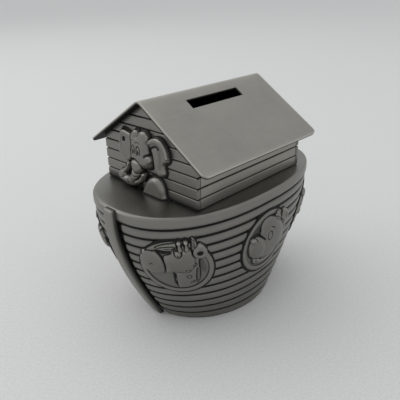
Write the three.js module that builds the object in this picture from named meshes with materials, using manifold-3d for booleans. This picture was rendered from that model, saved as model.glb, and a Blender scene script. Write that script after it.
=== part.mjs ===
// A Noah's ark money box in cast, pewter-finished metal. Coins drop through the slot in the roof,
// down through the cabin and the deck into the hull, and come out when the bung in the base is pulled.
//
// Millimetres, +Z up. The bow points to -X and the starboard side, with the coin slot, faces -Y.
// The origin is on the ground under the middle of the ark.

import * as THREE from 'three'
import { mergeVertices } from 'three/addons/utils/BufferGeometryUtils.js'
import Module from 'manifold-3d'

const wasm = await Module()
wasm.setup()

// ---- Driving dimensions -----------------------------------------------------------------------

const GAP = 0.3 // seam left between two castings that touch
const FAR = 100 // past the end of everything
const SEGMENTS = 40 // facets round the hull and the deck
const TURNED_SEGMENTS = 28 // facets round the bung and its hole

const HULL_HEIGHT = 62.5
const PLANK_COUNT = 12
const FOOT_HALF_LENGTH = 37.5
const FOOT_HALF_BEAM = 31.3
const DECK_HALF_LENGTH = 60.8
const DECK_HALF_BEAM = 40.4
const FLARE_LENGTHWISE = 1.6 // how early the hull spreads as it rises
const FLARE_SIDEWAYS = 1.7
const FULLNESS_AT_FOOT = 1.95 // exponent of the plan's superellipse
const FULLNESS_AT_DECK = 2.42
const HULL_WALL = 2
const HULL_GROOVE = 0.6

const STEM_WIDTH = 6
const STEM_DEPTH = 2.4

const BAND_HEIGHT = 6 // the gunwale band, from the top of the hull to the deck
const BAND_BULGE = 0.6
const BAND_WALL = 2.6
const DECK_THICKNESS = 2

const WELL_MARGIN = 7.5 // deck left inside the cabin walls round the well that coins drop through

const CABIN_LENGTH = 75
const CABIN_WIDTH = 62
const CABIN_WALL = 2
const CABIN_AHEAD = 1.4 // how far the cabin stands nearer the bow than the middle of the deck
const BOARD_PITCH = 5
const BOARD_GROOVE = 0.5

const ROOF_LENGTH = 82
const ROOF_WIDTH = 78
const ROOF_SHEET = 1.2
const ROOF_CORNER = 3
const RIDGE_BEND = 1.5
const RIDGE_HEIGHT = 42.8 // above the deck
const EAVE_HEIGHT = 17.4 // above the deck

const SLOT_LENGTH = 35
const SLOT_START = 6.1 // down the slope from the ridge
const SLOT_WIDTH = 5.6 // down the slope

const BASE_THICKNESS = 3
const BUNG_HOLE_RADIUS = 15
const BUNG_LIP = 3 // how far the bung's flange reaches past the hole
const BUNG_FLANGE = 1.2
const BUNG_HEIGHT = 7
const BUNG_WALL = 2

const PORTHOLE_RADIUS = 16.6
const PORTHOLE_BAND = 2.4
const PORTHOLE_RISE = 1.1
const PORTHOLE_HEIGHT = 41.6
const PANEL_THICKNESS = 0.6

// ---- Sizes that follow ------------------------------------------------------------------------

const PLANK_PITCH = HULL_HEIGHT / PLANK_COUNT
const DECK_TOP = HULL_HEIGHT + BAND_HEIGHT
const RIDGE_TOP = DECK_TOP + RIDGE_HEIGHT
const ROOF_SLOPE = Math.atan2(RIDGE_HEIGHT - EAVE_HEIGHT, ROOF_WIDTH / 2)
const ROOF_FALL = Math.tan(ROOF_SLOPE) // for each millimetre out from the ridge
const BEND_CENTRE = RIDGE_TOP - RIDGE_BEND
const WALL_FOOT = DECK_TOP + GAP
const SIDE_WALL_LENGTH = CABIN_LENGTH - 2 * (CABIN_WALL + GAP) // between the gables
const BUNG_FLANGE_RADIUS = BUNG_HOLE_RADIUS + BUNG_LIP
const WALL_APEX = BEND_CENTRE + (RIDGE_BEND - ROOF_SHEET - GAP) / Math.cos(ROOF_SLOPE)

// ---- Materials --------------------------------------------------------------------------------

const METAL = { color: '#6d6b64', roughness: 0.42, metalness: 0.9 }
const BRIGHT = { color: '#85837c', roughness: 0.34, metalness: 0.9 }
const RELIEF = { color: '#75736c', roughness: 0.45, metalness: 0.9 }
const RUBBER = { color: '#1c1c1d', roughness: 0.85, metalness: 0 }

// ---- Solids and meshes ------------------------------------------------------------------------

function toSolid(geometry) {
  const bare = geometry.clone()
  bare.deleteAttribute('normal')
  bare.deleteAttribute('uv')
  const merged = mergeVertices(bare, 1e-4)
  return new wasm.Manifold(new wasm.Mesh({
    numProp: 3,
    vertProperties: new Float32Array(merged.attributes.position.array),
    triVerts: new Uint32Array(merged.index.array),
  }))
}

function toGeometry(solid) {
  const mesh = solid.getMesh()
  const geometry = new THREE.BufferGeometry()
  geometry.setAttribute('position', new THREE.Float32BufferAttribute(mesh.vertProperties, 3))
  geometry.setIndex(Array.from(mesh.triVerts))
  geometry.computeVertexNormals()
  return geometry
}

// The same piece on the other side of the ark.
function mirrored(geometry) {
  const twin = geometry.clone()
  const { position } = twin.attributes
  for (let i = 0; i < position.count; i++) position.setY(i, -position.getY(i))
  twin.setIndex(Array.from(geometry.index.array).reverse())
  twin.computeVertexNormals()
  return twin
}

// Moves every vertex of a geometry to the place that a function gives for it.
function reshaped(geometry, place) {
  const { position } = geometry.attributes
  const point = new THREE.Vector3()
  for (let i = 0; i < position.count; i++) {
    place(point.fromBufferAttribute(position, i))
    position.setXYZ(i, point.x, point.y, point.z)
  }
  return geometry
}

function block([x0, x1], [y0, y1], [z0, z1]) {
  const box = new THREE.BoxGeometry(x1 - x0, y1 - y0, z1 - z0)
  return toSolid(box.translate((x0 + x1) / 2, (y0 + y1) / 2, (z0 + z1) / 2))
}

function outline(points) {
  return new THREE.Shape(points.map(([x, y]) => new THREE.Vector2(x, y)))
}

// A flat outline in X and Y, thickened from one height to another.
function slab(shape, from, to) {
  const geometry = new THREE.ExtrudeGeometry(shape, { depth: to - from, bevelEnabled: false })
  return toSolid(geometry.translate(0, 0, from))
}

// An outline in Y and Z, carried along X.
function alongX(shape, from, to) {
  const geometry = new THREE.ExtrudeGeometry(shape, { depth: to - from, bevelEnabled: false })
  return toSolid(geometry.translate(0, 0, from).rotateX(Math.PI / 2).rotateZ(Math.PI / 2))
}

// A turned solid: its profile is a list of radius and height.
function turned(profile, segments) {
  const points = profile.map(([radius, height]) => new THREE.Vector2(radius, height))
  return new THREE.LatheGeometry(points, segments).rotateX(Math.PI / 2)
}

// ---- Hull shape -------------------------------------------------------------------------------

// The waterline at a height: a superellipse that grows and squares off towards the deck.
function waterline(z) {
  const rise = Math.min(z / HULL_HEIGHT, 1)
  const flare = (foot, deck, power) => foot + (deck - foot) * (1 - (1 - rise) ** power)
  return {
    a: flare(FOOT_HALF_LENGTH, DECK_HALF_LENGTH, FLARE_LENGTHWISE),
    b: flare(FOOT_HALF_BEAM, DECK_HALF_BEAM, FLARE_SIDEWAYS),
    n: FULLNESS_AT_FOOT + (FULLNESS_AT_DECK - FULLNESS_AT_FOOT) * rise,
  }
}

// A point on a waterline, moved outwards. The turn is 0 at the stern and -PI/2 to starboard.
function planPoint(z, turn, out) {
  const { a, b, n } = waterline(z)
  const c = Math.cos(turn)
  const s = Math.sin(turn)
  const scale = (Math.abs(c) ** n + Math.abs(s) ** n) ** (-1 / n)
  const normal = new THREE.Vector2(
    Math.sign(c) * Math.abs(c * scale) ** (n - 1) / a,
    Math.sign(s) * Math.abs(s * scale) ** (n - 1) / b,
  ).normalize()
  return new THREE.Vector2(a * c * scale, b * s * scale).addScaledVector(normal, out)
}

// A closed section carried round the hull: its points are distance out from the waterline, and height.
function hoop(section) {
  const reach = FAR
  const closed = [...section, section[0]].map(([out, z]) => [reach + out, z])
  return toSolid(reshaped(turned(closed, SEGMENTS), (point) => {
    const spot = planPoint(point.z, Math.atan2(point.y, point.x), Math.hypot(point.x, point.y) - reach)
    point.x = spot.x
    point.y = spot.y
  }))
}

// The outline of a waterline, moved outwards.
function waterlineShape(z, out) {
  const points = []
  for (let i = 0; i < SEGMENTS; i++) {
    points.push(planPoint(z, (i / SEGMENTS) * 2 * Math.PI, out).toArray())
  }
  return outline(points)
}

// ---- Hull -------------------------------------------------------------------------------------

function hullShell() {
  const section = []
  for (let plank = 0; plank < PLANK_COUNT; plank++) {
    const z = plank * PLANK_PITCH
    section.push([plank === 0 ? 0 : -HULL_GROOVE, z], [0, z + PLANK_PITCH / 2])
  }
  section.push([0, HULL_HEIGHT])
  const innerRows = 4
  for (let row = innerRows; row >= 0; row--) section.push([-HULL_WALL, (row / innerRows) * HULL_HEIGHT])
  return hoop(section)
}

function hullHalf(side) {
  const [near, far] = [side * GAP / 2, side * FAR]
  const half = block([-FAR, FAR], [Math.min(near, far), Math.max(near, far)], [-1, HULL_HEIGHT + 1])
  return toGeometry(hullShell().intersect(half))
}

// The bar that covers the seam of the two halves, at the bow (end -1) or the stern (end 1).
function endPost(end) {
  const rows = 14
  const inner = []
  const outer = []
  for (let row = 0; row <= rows; row++) {
    const z = (row / rows) * (DECK_TOP - GAP)
    const inside = waterline(z).a + GAP + (z > HULL_HEIGHT - 5 ? BAND_BULGE : 0)
    inner.push([end * inside, z])
    outer.unshift([end * (waterline(z).a + GAP + STEM_DEPTH), z])
  }
  const profile = outline(end > 0 ? [...inner, ...outer].reverse() : [...inner, ...outer])
  const bar = new THREE.ExtrudeGeometry(profile, { depth: STEM_WIDTH, bevelEnabled: false })
  return toGeometry(toSolid(bar.rotateX(Math.PI / 2).translate(0, STEM_WIDTH / 2, 0)))
}

function basePlate() {
  const plate = slab(waterlineShape(0, -HULL_WALL - GAP), 0, BASE_THICKNESS)
  const recess = turned([
    [0, -1], [BUNG_FLANGE_RADIUS + 0.5, -1], [BUNG_FLANGE_RADIUS + 0.5, BUNG_FLANGE + 2 * GAP],
    [BUNG_HOLE_RADIUS, BUNG_FLANGE + 2 * GAP], [BUNG_HOLE_RADIUS, BASE_THICKNESS + 1],
    [0, BASE_THICKNESS + 1],
  ], TURNED_SEGMENTS)
  return toGeometry(plate.subtract(toSolid(recess)))
}

function bung() {
  const bottom = GAP
  const plug = BUNG_HOLE_RADIUS - GAP
  return toGeometry(toSolid(turned([
    [0, bottom], [BUNG_FLANGE_RADIUS, bottom], [BUNG_FLANGE_RADIUS, bottom + BUNG_FLANGE],
    [plug, bottom + BUNG_FLANGE], [plug, BUNG_HEIGHT], [plug - BUNG_WALL, BUNG_HEIGHT],
    [plug - BUNG_WALL, bottom + BUNG_FLANGE + BUNG_WALL], [0, bottom + BUNG_FLANGE + BUNG_WALL],
  ], TURNED_SEGMENTS)))
}

// ---- Deck -------------------------------------------------------------------------------------

function deck() {
  const bottom = HULL_HEIGHT + GAP
  const band = hoop([
    [-BAND_WALL, bottom], [-0.2, bottom], [BAND_BULGE, bottom + 1.2], [BAND_BULGE, DECK_TOP - 0.9],
    [-0.8, DECK_TOP], [-BAND_WALL, DECK_TOP],
  ])
  const floor = slab(waterlineShape(DECK_TOP, -BAND_WALL / 2), DECK_TOP - DECK_THICKNESS, DECK_TOP)
  const well = block(
    [-CABIN_LENGTH / 2 + WELL_MARGIN - CABIN_AHEAD, CABIN_LENGTH / 2 - WELL_MARGIN - CABIN_AHEAD],
    [-CABIN_WIDTH / 2 + WELL_MARGIN, CABIN_WIDTH / 2 - WELL_MARGIN],
    [bottom, DECK_TOP + 1],
  )
  return toGeometry(band.add(floor).subtract(well))
}

// ---- Cabin ------------------------------------------------------------------------------------

// The space between the deck and the roof sheet.
function underRoof() {
  const reach = ROOF_WIDTH / 2
  const eave = WALL_APEX - reach * ROOF_FALL
  const shape = outline([
    [-reach, WALL_FOOT], [reach, WALL_FOOT], [reach, eave], [0, WALL_APEX], [-reach, eave],
  ])
  return alongX(shape, -ROOF_LENGTH / 2, ROOF_LENGTH / 2)
}

// A boarded wall that faces outwards by a given turn about Z (0 faces port), under the roof.
function boardedWall(length, distance, facing) {
  const [inner, outer] = [distance - CABIN_WALL, distance]
  const section = [[inner, DECK_TOP], [outer, DECK_TOP]]
  for (let z = DECK_TOP + BOARD_PITCH; z < RIDGE_TOP; z += BOARD_PITCH) {
    section.push([outer, z - BOARD_GROOVE], [outer - BOARD_GROOVE, z], [outer, z + BOARD_GROOVE])
  }
  section.push([outer, RIDGE_TOP + 1], [inner, RIDGE_TOP + 1])
  const geometry = toGeometry(alongX(outline(section), -length / 2, length / 2)).rotateZ(facing)
  return toGeometry(toSolid(geometry).intersect(underRoof()))
}

// ---- Roof -------------------------------------------------------------------------------------

// One folded sheet with rounded corners and the coin slot cut straight down through the starboard slope.
function roof() {
  const bendSteps = 4
  const outer = []
  const inner = []
  for (let i = -bendSteps; i <= bendSteps; i++) {
    const lean = (i / bendSteps) * ROOF_SLOPE
    for (const [line, radius] of [[outer, RIDGE_BEND], [inner, RIDGE_BEND - ROOF_SHEET]]) {
      line.push([radius * Math.sin(lean), BEND_CENTRE + radius * Math.cos(lean)])
    }
  }
  const edge = ROOF_WIDTH / 2
  const lineAt = (radius) => BEND_CENTRE + radius / Math.cos(ROOF_SLOPE) - edge * ROOF_FALL
  const outerEave = lineAt(RIDGE_BEND)
  const innerEave = lineAt(RIDGE_BEND - ROOF_SHEET)
  const section = outline([
    [-edge, outerEave], ...outer, [edge, outerEave],
    [edge, innerEave], ...inner.reverse(), [-edge, innerEave],
  ].reverse())

  const [x, y, r] = [ROOF_LENGTH / 2, ROOF_WIDTH / 2, ROOF_CORNER]
  const plan = new THREE.Shape()
  plan.absarc(x - r, y - r, r, 0, Math.PI / 2)
  plan.absarc(-x + r, y - r, r, Math.PI / 2, Math.PI)
  plan.absarc(-x + r, -y + r, r, Math.PI, 1.5 * Math.PI)
  plan.absarc(x - r, -y + r, r, 1.5 * Math.PI, 2 * Math.PI)
  const tall = { depth: RIDGE_HEIGHT + 1, bevelEnabled: false, curveSegments: 5 }
  const corners = toSolid(new THREE.ExtrudeGeometry(plan, tall).translate(0, 0, DECK_TOP))

  const slot = block(
    [-SLOT_LENGTH / 2, SLOT_LENGTH / 2],
    [-(SLOT_START + SLOT_WIDTH) * Math.cos(ROOF_SLOPE), -SLOT_START * Math.cos(ROOF_SLOPE)],
    [DECK_TOP + EAVE_HEIGHT, RIDGE_TOP + 1],
  )
  return toGeometry(alongX(section, -x - 1, x + 1).intersect(corners).subtract(slot))
}

// ---- Reliefs ----------------------------------------------------------------------------------

// A patch of hull side round a porthole's centre. It places a point given along the waterline, up the
// side and out from the surface.
function hullPatch(turn, height) {
  const probe = 1
  const across = planPoint(height + probe, turn, 0).sub(planPoint(height - probe, turn, 0))
  const lean = Math.atan2(across.dot(planPoint(height, turn, 1).sub(planPoint(height, turn, 0))), 2 * probe)
  const steps = 8
  return (point) => {
    const { x: along, y: up, z: out } = point
    const z = height + up * Math.cos(lean)
    let at = turn
    for (let i = 0; i < steps; i++) {
      const speed = planPoint(z, at + 0.01, 0).distanceTo(planPoint(z, at - 0.01, 0)) / 0.02
      at += along / steps / speed
    }
    const spot = planPoint(z, at, out * Math.cos(lean))
    point.set(spot.x, spot.y, z - out * Math.sin(lean))
  }
}

// A patch of the front gable, measured across to starboard, up from the deck and out from the boards.
function gablePatch(point) {
  point.set(-CABIN_LENGTH / 2 - point.z, -point.x, DECK_TOP + point.y)
}

// A raised oval: its place across and up, its two radii, its tilt, and how far out it starts and ends.
function dome([across, up, wide, tall, tilt, start, end], patch) {
  const ball = new THREE.SphereGeometry(1, 8, 4).rotateX(Math.PI / 2)
  reshaped(ball, (point) => {
    point.z *= point.z > 0 ? end - start : 0.2
    point.x *= wide
    point.y *= tall
  })
  ball.rotateZ(THREE.MathUtils.degToRad(tilt)).translate(across, up, start)
  return toSolid(reshaped(ball, patch))
}

function portholeRing(patch) {
  const [inner, outer] = [PORTHOLE_RADIUS - PORTHOLE_BAND, PORTHOLE_RADIUS]
  const profile = [[inner, GAP], [outer, GAP], [outer - 0.4, PORTHOLE_RISE], [inner + 0.4, PORTHOLE_RISE],
    [inner, GAP]]
  return toGeometry(toSolid(reshaped(turned(profile, 24), patch)))
}

// The smooth field inside a ring, with an animal's head on it. What rises from the field stays inside
// the ring, and the rest reaches over it.
function animalPanel(patch, domes) {
  const rows = 3
  const radius = PORTHOLE_RADIUS - PORTHOLE_BAND - GAP
  const disc = (low, high) => {
    const profile = []
    for (let row = 0; row <= rows; row++) profile.push([(row / rows) * radius, low])
    for (let row = rows; row >= 0; row--) profile.push([(row / rows) * radius, high])
    return toSolid(reshaped(turned(profile, 18), patch))
  }
  const join = (solid, shape) => solid.add(dome(shape, patch))
  const inside = domes.filter((shape) => shape.at(-2) === ON_FIELD)
  const over = domes.filter((shape) => shape.at(-2) === OVER_RING)
  const raised = inside.reduce(join, disc(GAP, ON_FIELD)).intersect(disc(GAP, 12))
  return toGeometry(over.reduce(join, raised))
}

const ON_FIELD = GAP + PANEL_THICKNESS
const OVER_RING = PORTHOLE_RISE + 2 * GAP

const GIRAFFE = [
  [3.2, 7.7, 6.6, 7.6, 0, ON_FIELD, 3.2], // face
  [5.2, -3.8, 5.2, 8.6, 8, ON_FIELD, 2.2], // neck
  [-4.8, 1.7, 6.5, 6, 0, ON_FIELD, 2.8], // jaw
  [-9.4, 6, 7, 7, 0, OVER_RING, 4.2], // muzzle
  [9, 8.6, 3.8, 3.8, 0, ON_FIELD, 2.6], // cheek
  [12.2, 10.8, 3.8, 4, 0, OVER_RING, 3.2], // ear
  [3.6, 14.2, 1.2, 3.6, 0, OVER_RING, 2.9], // horn
  [6.6, 14.6, 1.2, 3.8, 0, OVER_RING, 2.9], // horn
  [9.2, 14.8, 1.7, 3.6, 0, OVER_RING, 2.7], // mane
]

const HIPPO = [
  [3, 1.5, 10.5, 10, -30, ON_FIELD, 3.8], // head
  [-6, -1.5, 7, 8, 20, ON_FIELD, 3.6], // snout
  [-10.4, 4.2, 2.2, 1.8, -30, ON_FIELD, 2.6], // nostril
  [1, -9, 10, 4, 0, ON_FIELD, 2.1], // jaw
  [7.4, 2.6, 7.2, 8, 0, OVER_RING, 3.5], // cheek
  [6.6, 12.2, 1.9, 3.6, 15, OVER_RING, 2.9], // ear
  [11.8, 10.6, 2.6, 4.6, 15, OVER_RING, 3.1], // ear
]

const LION = [
  [0, 0.5, 12.6, 12.6, 0, ON_FIELD, 2.2], // mane
  [0, 1.5, 8.4, 9, 0, ON_FIELD, 3.6], // face
  [0, -3.2, 4.6, 4, 0, ON_FIELD, 4.6], // muzzle
  [0, -8, 3.2, 3, 0, ON_FIELD, 3.2], // chin
  [-7.2, 9, 2.8, 2.8, 0, ON_FIELD, 3.1], // ear
  [7.2, 9, 2.8, 2.8, 0, ON_FIELD, 3.1], // ear
]

const ELEPHANT = [
  [-3, 20.5, 6.6, 9, 0, 0.5, 4], // head
  [-13.4, 18.6, 5, 10, 0, 0.5, 2.4], // ear
  [10.6, 19, 7.2, 9.2, 0, 0.5, 2.8], // ear
  [-6, 27.4, 2.4, 2.4, 0, 0.5, 3.1], // crown
  [0.4, 27, 3.6, 3, 0, 0.5, 3.3], // crown
  [0.4, 15.6, 4.6, 4.2, 0, 0.5, 3.9], // cheek
  [-7, 12, 3.4, 5, 10, 0.5, 4.9], // trunk
  [-8, 5.8, 4, 4.6, -20, 0.5, 4.5], // trunk
  [-13, 3.6, 5, 2.6, 5, 0.5, 3.8], // trunk
  [-17.4, 6, 2.6, 3, 20, 0.5, 4], // trunk tip
  [-2.4, 6.4, 1.6, 5.4, -35, 0.5, 3.8], // mouth
  [5, 11, 6, 5.5, 0, 0.5, 2], // neck
  [7.4, 4.4, 6.8, 5.8, 0, 0.5, 3.8], // foot
]

function elephant() {
  const overDeck = block([-60, 0], [-40, 40], [WALL_FOOT, RIDGE_TOP])
  const shapes = ELEPHANT.map((shape) => dome(shape, gablePatch))
  return toGeometry(shapes.reduce((solid, shape) => solid.add(shape)).intersect(overDeck))
}

const PORTHOLES = [
  { place: 'fore', turn: -2.48, animal: 'giraffe', domes: GIRAFFE },
  { place: 'mid', turn: -1.58, animal: 'hippo', domes: HIPPO },
  { place: 'aft', turn: -0.66, animal: 'lion', domes: LION },
]

// ---- The ark ----------------------------------------------------------------------------------

const ark = new THREE.Group()
const cabin = new THREE.Group()
cabin.position.x = -CABIN_AHEAD
ark.add(cabin)

function add(name, geometry, look, home = ark) {
  const mesh = new THREE.Mesh(geometry, new THREE.MeshStandardMaterial(look))
  mesh.name = name
  home.add(mesh)
}

add('hull_starboard', hullHalf(-1), METAL)
add('hull_port', hullHalf(1), METAL)
add('bow_stem', endPost(-1), METAL)
add('stern_post', endPost(1), METAL)
add('base_plate', basePlate(), METAL)
add('coin_bung', bung(), RUBBER)
add('deck', deck(), METAL)
add('cabin_port_wall', boardedWall(SIDE_WALL_LENGTH, CABIN_WIDTH / 2, 0), METAL, cabin)
add('cabin_starboard_wall', boardedWall(SIDE_WALL_LENGTH, CABIN_WIDTH / 2, Math.PI), METAL, cabin)
add('cabin_front_gable', boardedWall(CABIN_WIDTH, CABIN_LENGTH / 2, Math.PI / 2), METAL, cabin)
add('cabin_rear_gable', boardedWall(CABIN_WIDTH, CABIN_LENGTH / 2, -Math.PI / 2), METAL, cabin)
add('roof', roof(), BRIGHT, cabin)
add('elephant', elephant(), RELIEF, cabin)

for (const { place, turn, animal, domes } of PORTHOLES) {
  const patch = hullPatch(turn, PORTHOLE_HEIGHT)
  const ring = portholeRing(patch)
  const panel = animalPanel(patch, domes)
  add(`ring_${place}_starboard`, ring, BRIGHT)
  add(`ring_${place}_port`, mirrored(ring), BRIGHT)
  add(`${animal}_starboard`, panel, RELIEF)
  add(`${animal}_port`, mirrored(panel), RELIEF)
}

export default ark
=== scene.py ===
"""An ark-shaped money box in antique pewter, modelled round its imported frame."""

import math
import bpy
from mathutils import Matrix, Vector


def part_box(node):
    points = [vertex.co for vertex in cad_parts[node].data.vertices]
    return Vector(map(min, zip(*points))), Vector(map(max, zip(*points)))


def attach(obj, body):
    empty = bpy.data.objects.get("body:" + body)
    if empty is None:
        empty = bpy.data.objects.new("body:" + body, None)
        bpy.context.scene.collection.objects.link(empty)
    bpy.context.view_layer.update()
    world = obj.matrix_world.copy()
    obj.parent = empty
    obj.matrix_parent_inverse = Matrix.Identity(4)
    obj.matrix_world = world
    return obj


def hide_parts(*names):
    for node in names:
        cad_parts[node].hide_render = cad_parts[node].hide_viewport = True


bl_info = {
    "name": "Ark money box",
    "version": (1, 0, 0),
    "blender": (4, 5, 0),
    "location": "View3D > Sidebar > Ark",
    "description": "Models an ark-shaped metal money box with animal portholes",
    "category": "Add Mesh",
}

import bpy
import numpy as np
from bpy.props import FloatProperty, FloatVectorProperty, PointerProperty
from mathutils import Matrix, Vector

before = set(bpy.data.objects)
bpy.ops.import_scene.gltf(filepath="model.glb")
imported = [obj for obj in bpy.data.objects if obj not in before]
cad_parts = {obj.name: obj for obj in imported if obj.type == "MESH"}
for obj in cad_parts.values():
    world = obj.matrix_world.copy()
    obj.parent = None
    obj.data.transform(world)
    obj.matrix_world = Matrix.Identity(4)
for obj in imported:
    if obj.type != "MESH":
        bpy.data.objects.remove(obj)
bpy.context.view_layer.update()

MM = 0.001
NEAR = 0.01  # millimetres within which two places are the same


# ---- Places taken from the frame, in millimetres ----------------------------------------------


def box_mm(node):
    low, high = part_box(node)
    return np.array(low) / MM, np.array(high) / MM


HULL_LOW, HULL_HIGH = box_mm("hull_port")
BASE_LOW, BASE_HIGH = box_mm("base_plate")
DECK_LOW, DECK_HIGH = box_mm("deck")
ROOF_LOW, ROOF_HIGH = box_mm("roof")
GABLE_LOW, GABLE_HIGH = box_mm("cabin_front_gable")
STEM_LOW, STEM_HIGH = box_mm("bow_stem")
BUNG_LOW, BUNG_HIGH = box_mm("coin_bung")

HULL_HEIGHT = HULL_HIGH[2]
DECK_TOP = DECK_HIGH[2]
HULL_WALL = 2.0
SEAM = 0.3
FOOT_HALF_LENGTH = BASE_HIGH[0] + HULL_WALL + SEAM
FOOT_HALF_BEAM = BASE_HIGH[1] + HULL_WALL + SEAM
DECK_HALF_LENGTH = HULL_HIGH[0]
DECK_HALF_BEAM = HULL_HIGH[1]
FLARE_LENGTHWISE = 1.6
FLARE_SIDEWAYS = 1.7
FULLNESS_AT_FOOT = 1.95
FULLNESS_AT_DECK = 2.42
PLANKS = 12
PLANK_PITCH = HULL_HEIGHT / PLANKS
HULL_COLUMNS = 220  # points along each side
POST_DEPTH = 2.4
POST_SHADE = 2.4  # how far from a post the planks are sunk and darkened, with oxide and painted shade

BAND_WALL = 2.6
DECK_THICKNESS = 2.0
WELL_MARGIN = 7.5  # deck left inside the cabin's walls round the well
WELL_SQUARENESS = 8.0

CABIN_FRONT = GABLE_LOW[0]
CABIN_MIDDLE = (ROOF_LOW[0] + ROOF_HIGH[0]) / 2
CABIN_HALF_LENGTH = CABIN_MIDDLE - CABIN_FRONT
CABIN_HALF_WIDTH = GABLE_HIGH[1]
BOARD_PITCH = 5.0
EAVE_SHADE = 2.6  # how far down the gables the painted shade under the roof reaches

ROOF_SHEET = 1.2
ROOF_SLOPE = math.atan2(ROOF_HIGH[2] - ROOF_SHEET - ROOF_LOW[2], ROOF_HIGH[1])
ROOF_CORNER = 3.2
ROOF_GAP = 0.04  # between the gables and the roof's underside
RIDGE_BEND = 3.2  # outer radius of the fold
RIDGE_CENTRE = ROOF_HIGH[2] - RIDGE_BEND
SLOT_HALF_LENGTH = 17.5
SLOT_START = 6.1  # down the slope from the ridge
SLOT_END = 11.7
SLOT_IN_PLAN = (-10.1, -4.9)  # where the slot's walls lie across the folded roof

BUNG_LIP = 3.3  # from the plug out to the flange's edge
BUNG_FLANGE = 1.2
BUNG_WALL = 2.0
RECESS = 1.8  # depth of the base plate's recess for the flange

PORTHOLE_HEIGHT = 41.6
PORTHOLE_RADIUS = 16.6
PORTHOLE_BAND = 2.4
RING_TOP = 0.9
FIELD = 0.4  # level of the smooth field inside a porthole ring
PORTHOLE_TURNS = {"fore": -2.48, "mid": -1.58, "aft": -0.66}
ANIMALS = {"fore": "giraffe", "mid": "hippo", "aft": "lion"}


# ---- Settings that a user would change ----------------------------------------------------------


class ArkSizes(bpy.types.PropertyGroup):
    """Sizes of the finer details, in millimetres."""

    plank_groove: FloatProperty(
        name="Plank groove", description="Depth of the grooves between planks", default=0.75, min=0.1
    )
    plank_crown: FloatProperty(
        name="Plank crown", description="How far a plank's middle stands out", default=0.2, min=0
    )
    board_groove: FloatProperty(
        name="Board groove", description="Depth of the grooves in the cabin walls", default=0.6, min=0.1
    )
    relief_cell: FloatProperty(
        name="Relief cell", description="Distance between the points of a relief", default=0.2, min=0.05
    )
    edge_round: FloatProperty(
        name="Edge rounding", description="Radius of the worn edges of the sheet parts", default=0.3, min=0.05
    )


class ArkColours(bpy.types.PropertyGroup):
    """Colours of the finishes."""

    pewter: FloatVectorProperty(
        name="Pewter", description="Worn metal on the faces", subtype="COLOR", default=(0.185, 0.181, 0.167)
    )
    # This rubbed colour is also used as painted light on the cabin's side walls.
    bright: FloatVectorProperty(
        name="Bright pewter", description="Rubbed metal on edges", subtype="COLOR", default=(0.36, 0.347, 0.31)
    )
    # This dark colour is also used as painted shade inside the box, under the roof's eaves, in the slot, in gaps and
    # along the feet.
    patina_and_shade_colour: FloatVectorProperty(
        name="Patina", description="Dark finish left in the hollows", subtype="COLOR",
        default=(0.012, 0.012, 0.011),
    )
    rubber: FloatVectorProperty(
        name="Rubber", description="The bung", subtype="COLOR", default=(0.02, 0.02, 0.022)
    )
    floor: FloatVectorProperty(
        name="Floor", description="The surface it stands on", subtype="COLOR", default=(0.8, 0.8, 0.795)
    )


def sizes():
    return bpy.context.scene.ark_sizes


def colours():
    return bpy.context.scene.ark_colours


# ---- Shader maths -------------------------------------------------------------------------------


class Wire:
    """A socket that takes part in plain arithmetic."""

    def __init__(self, paint, socket):
        self.paint = paint
        self.socket = socket

    def _with(self, operation, *others):
        node = self.paint.node("ShaderNodeMath", {"operation": operation}, {0: self, **dict(enumerate(others, 1))})
        return Wire(self.paint, node.outputs[0])

    def __add__(self, other):
        return self._with("ADD", other)

    __radd__ = __add__

    def __mul__(self, other):
        return self._with("MULTIPLY", other)

    __rmul__ = __mul__

    def __sub__(self, other):
        return self._with("SUBTRACT", other)

    def __rsub__(self, other):
        return (self * -1) + other

    def clamped(self):
        node = self.paint.node("ShaderNodeClamp", {}, {"Value": self})
        return Wire(self.paint, node.outputs[0])

    def power(self, exponent):
        return self._with("POWER", exponent)


class Paint:
    """A material and the nodes that make it."""

    def __init__(self, name):
        self.material = bpy.data.materials.new(name)
        self.material.use_nodes = True
        self.tree = self.material.node_tree
        self.shader = self.tree.nodes["Principled BSDF"]

    def node(self, kind, settings=None, inputs=None):
        node = self.tree.nodes.new(kind)
        for key, value in (settings or {}).items():
            setattr(node, key, value)
        for key, value in (inputs or {}).items():
            self.feed(node.inputs[key], value)
        return node

    def feed(self, socket, value):
        if isinstance(value, Wire):
            self.tree.links.new(value.socket, socket)
        elif socket.type == "RGBA":
            socket.default_value = (*value, 1.0)
        else:
            socket.default_value = value

    def wire(self, node, output=0):
        return Wire(self, node.outputs[output])

    def place(self):
        return self.wire(self.node("ShaderNodeTexCoord"), "Object")

    def stretched(self, scale):
        node = self.node("ShaderNodeMapping", {}, {"Vector": self.place(), "Scale": scale})
        return self.wire(node)

    def noise(self, vector, scale, detail=3.0, roughness=0.55):
        node = self.node(
            "ShaderNodeTexNoise", {}, {"Vector": vector, "Scale": scale, "Detail": detail, "Roughness": roughness}
        )
        return self.wire(node, "Fac")

    def attribute(self, name):
        return self.wire(self.node("ShaderNodeAttribute", {"attribute_name": name}), "Fac")

    def mix(self, factor, first, second):
        node = self.node("ShaderNodeMix", {"data_type": "RGBA"})
        self.feed(node.inputs[0], factor)
        self.feed(node.inputs[6], first)
        self.feed(node.inputs[7], second)
        return self.wire(node, 2)

    def bump(self, height, strength, distance):
        node = self.node(
            "ShaderNodeBump", {}, {"Height": height, "Strength": strength, "Distance": distance}
        )
        return self.wire(node)

    def finish(self, **sockets):
        names = {"colour": "Base Color", "roughness": "Roughness", "metallic": "Metallic", "normal": "Normal",
                 "gloss": "Specular IOR Level"}
        for key, value in sockets.items():
            self.feed(self.shader.inputs[names[key]], value)
        return self.material


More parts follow.
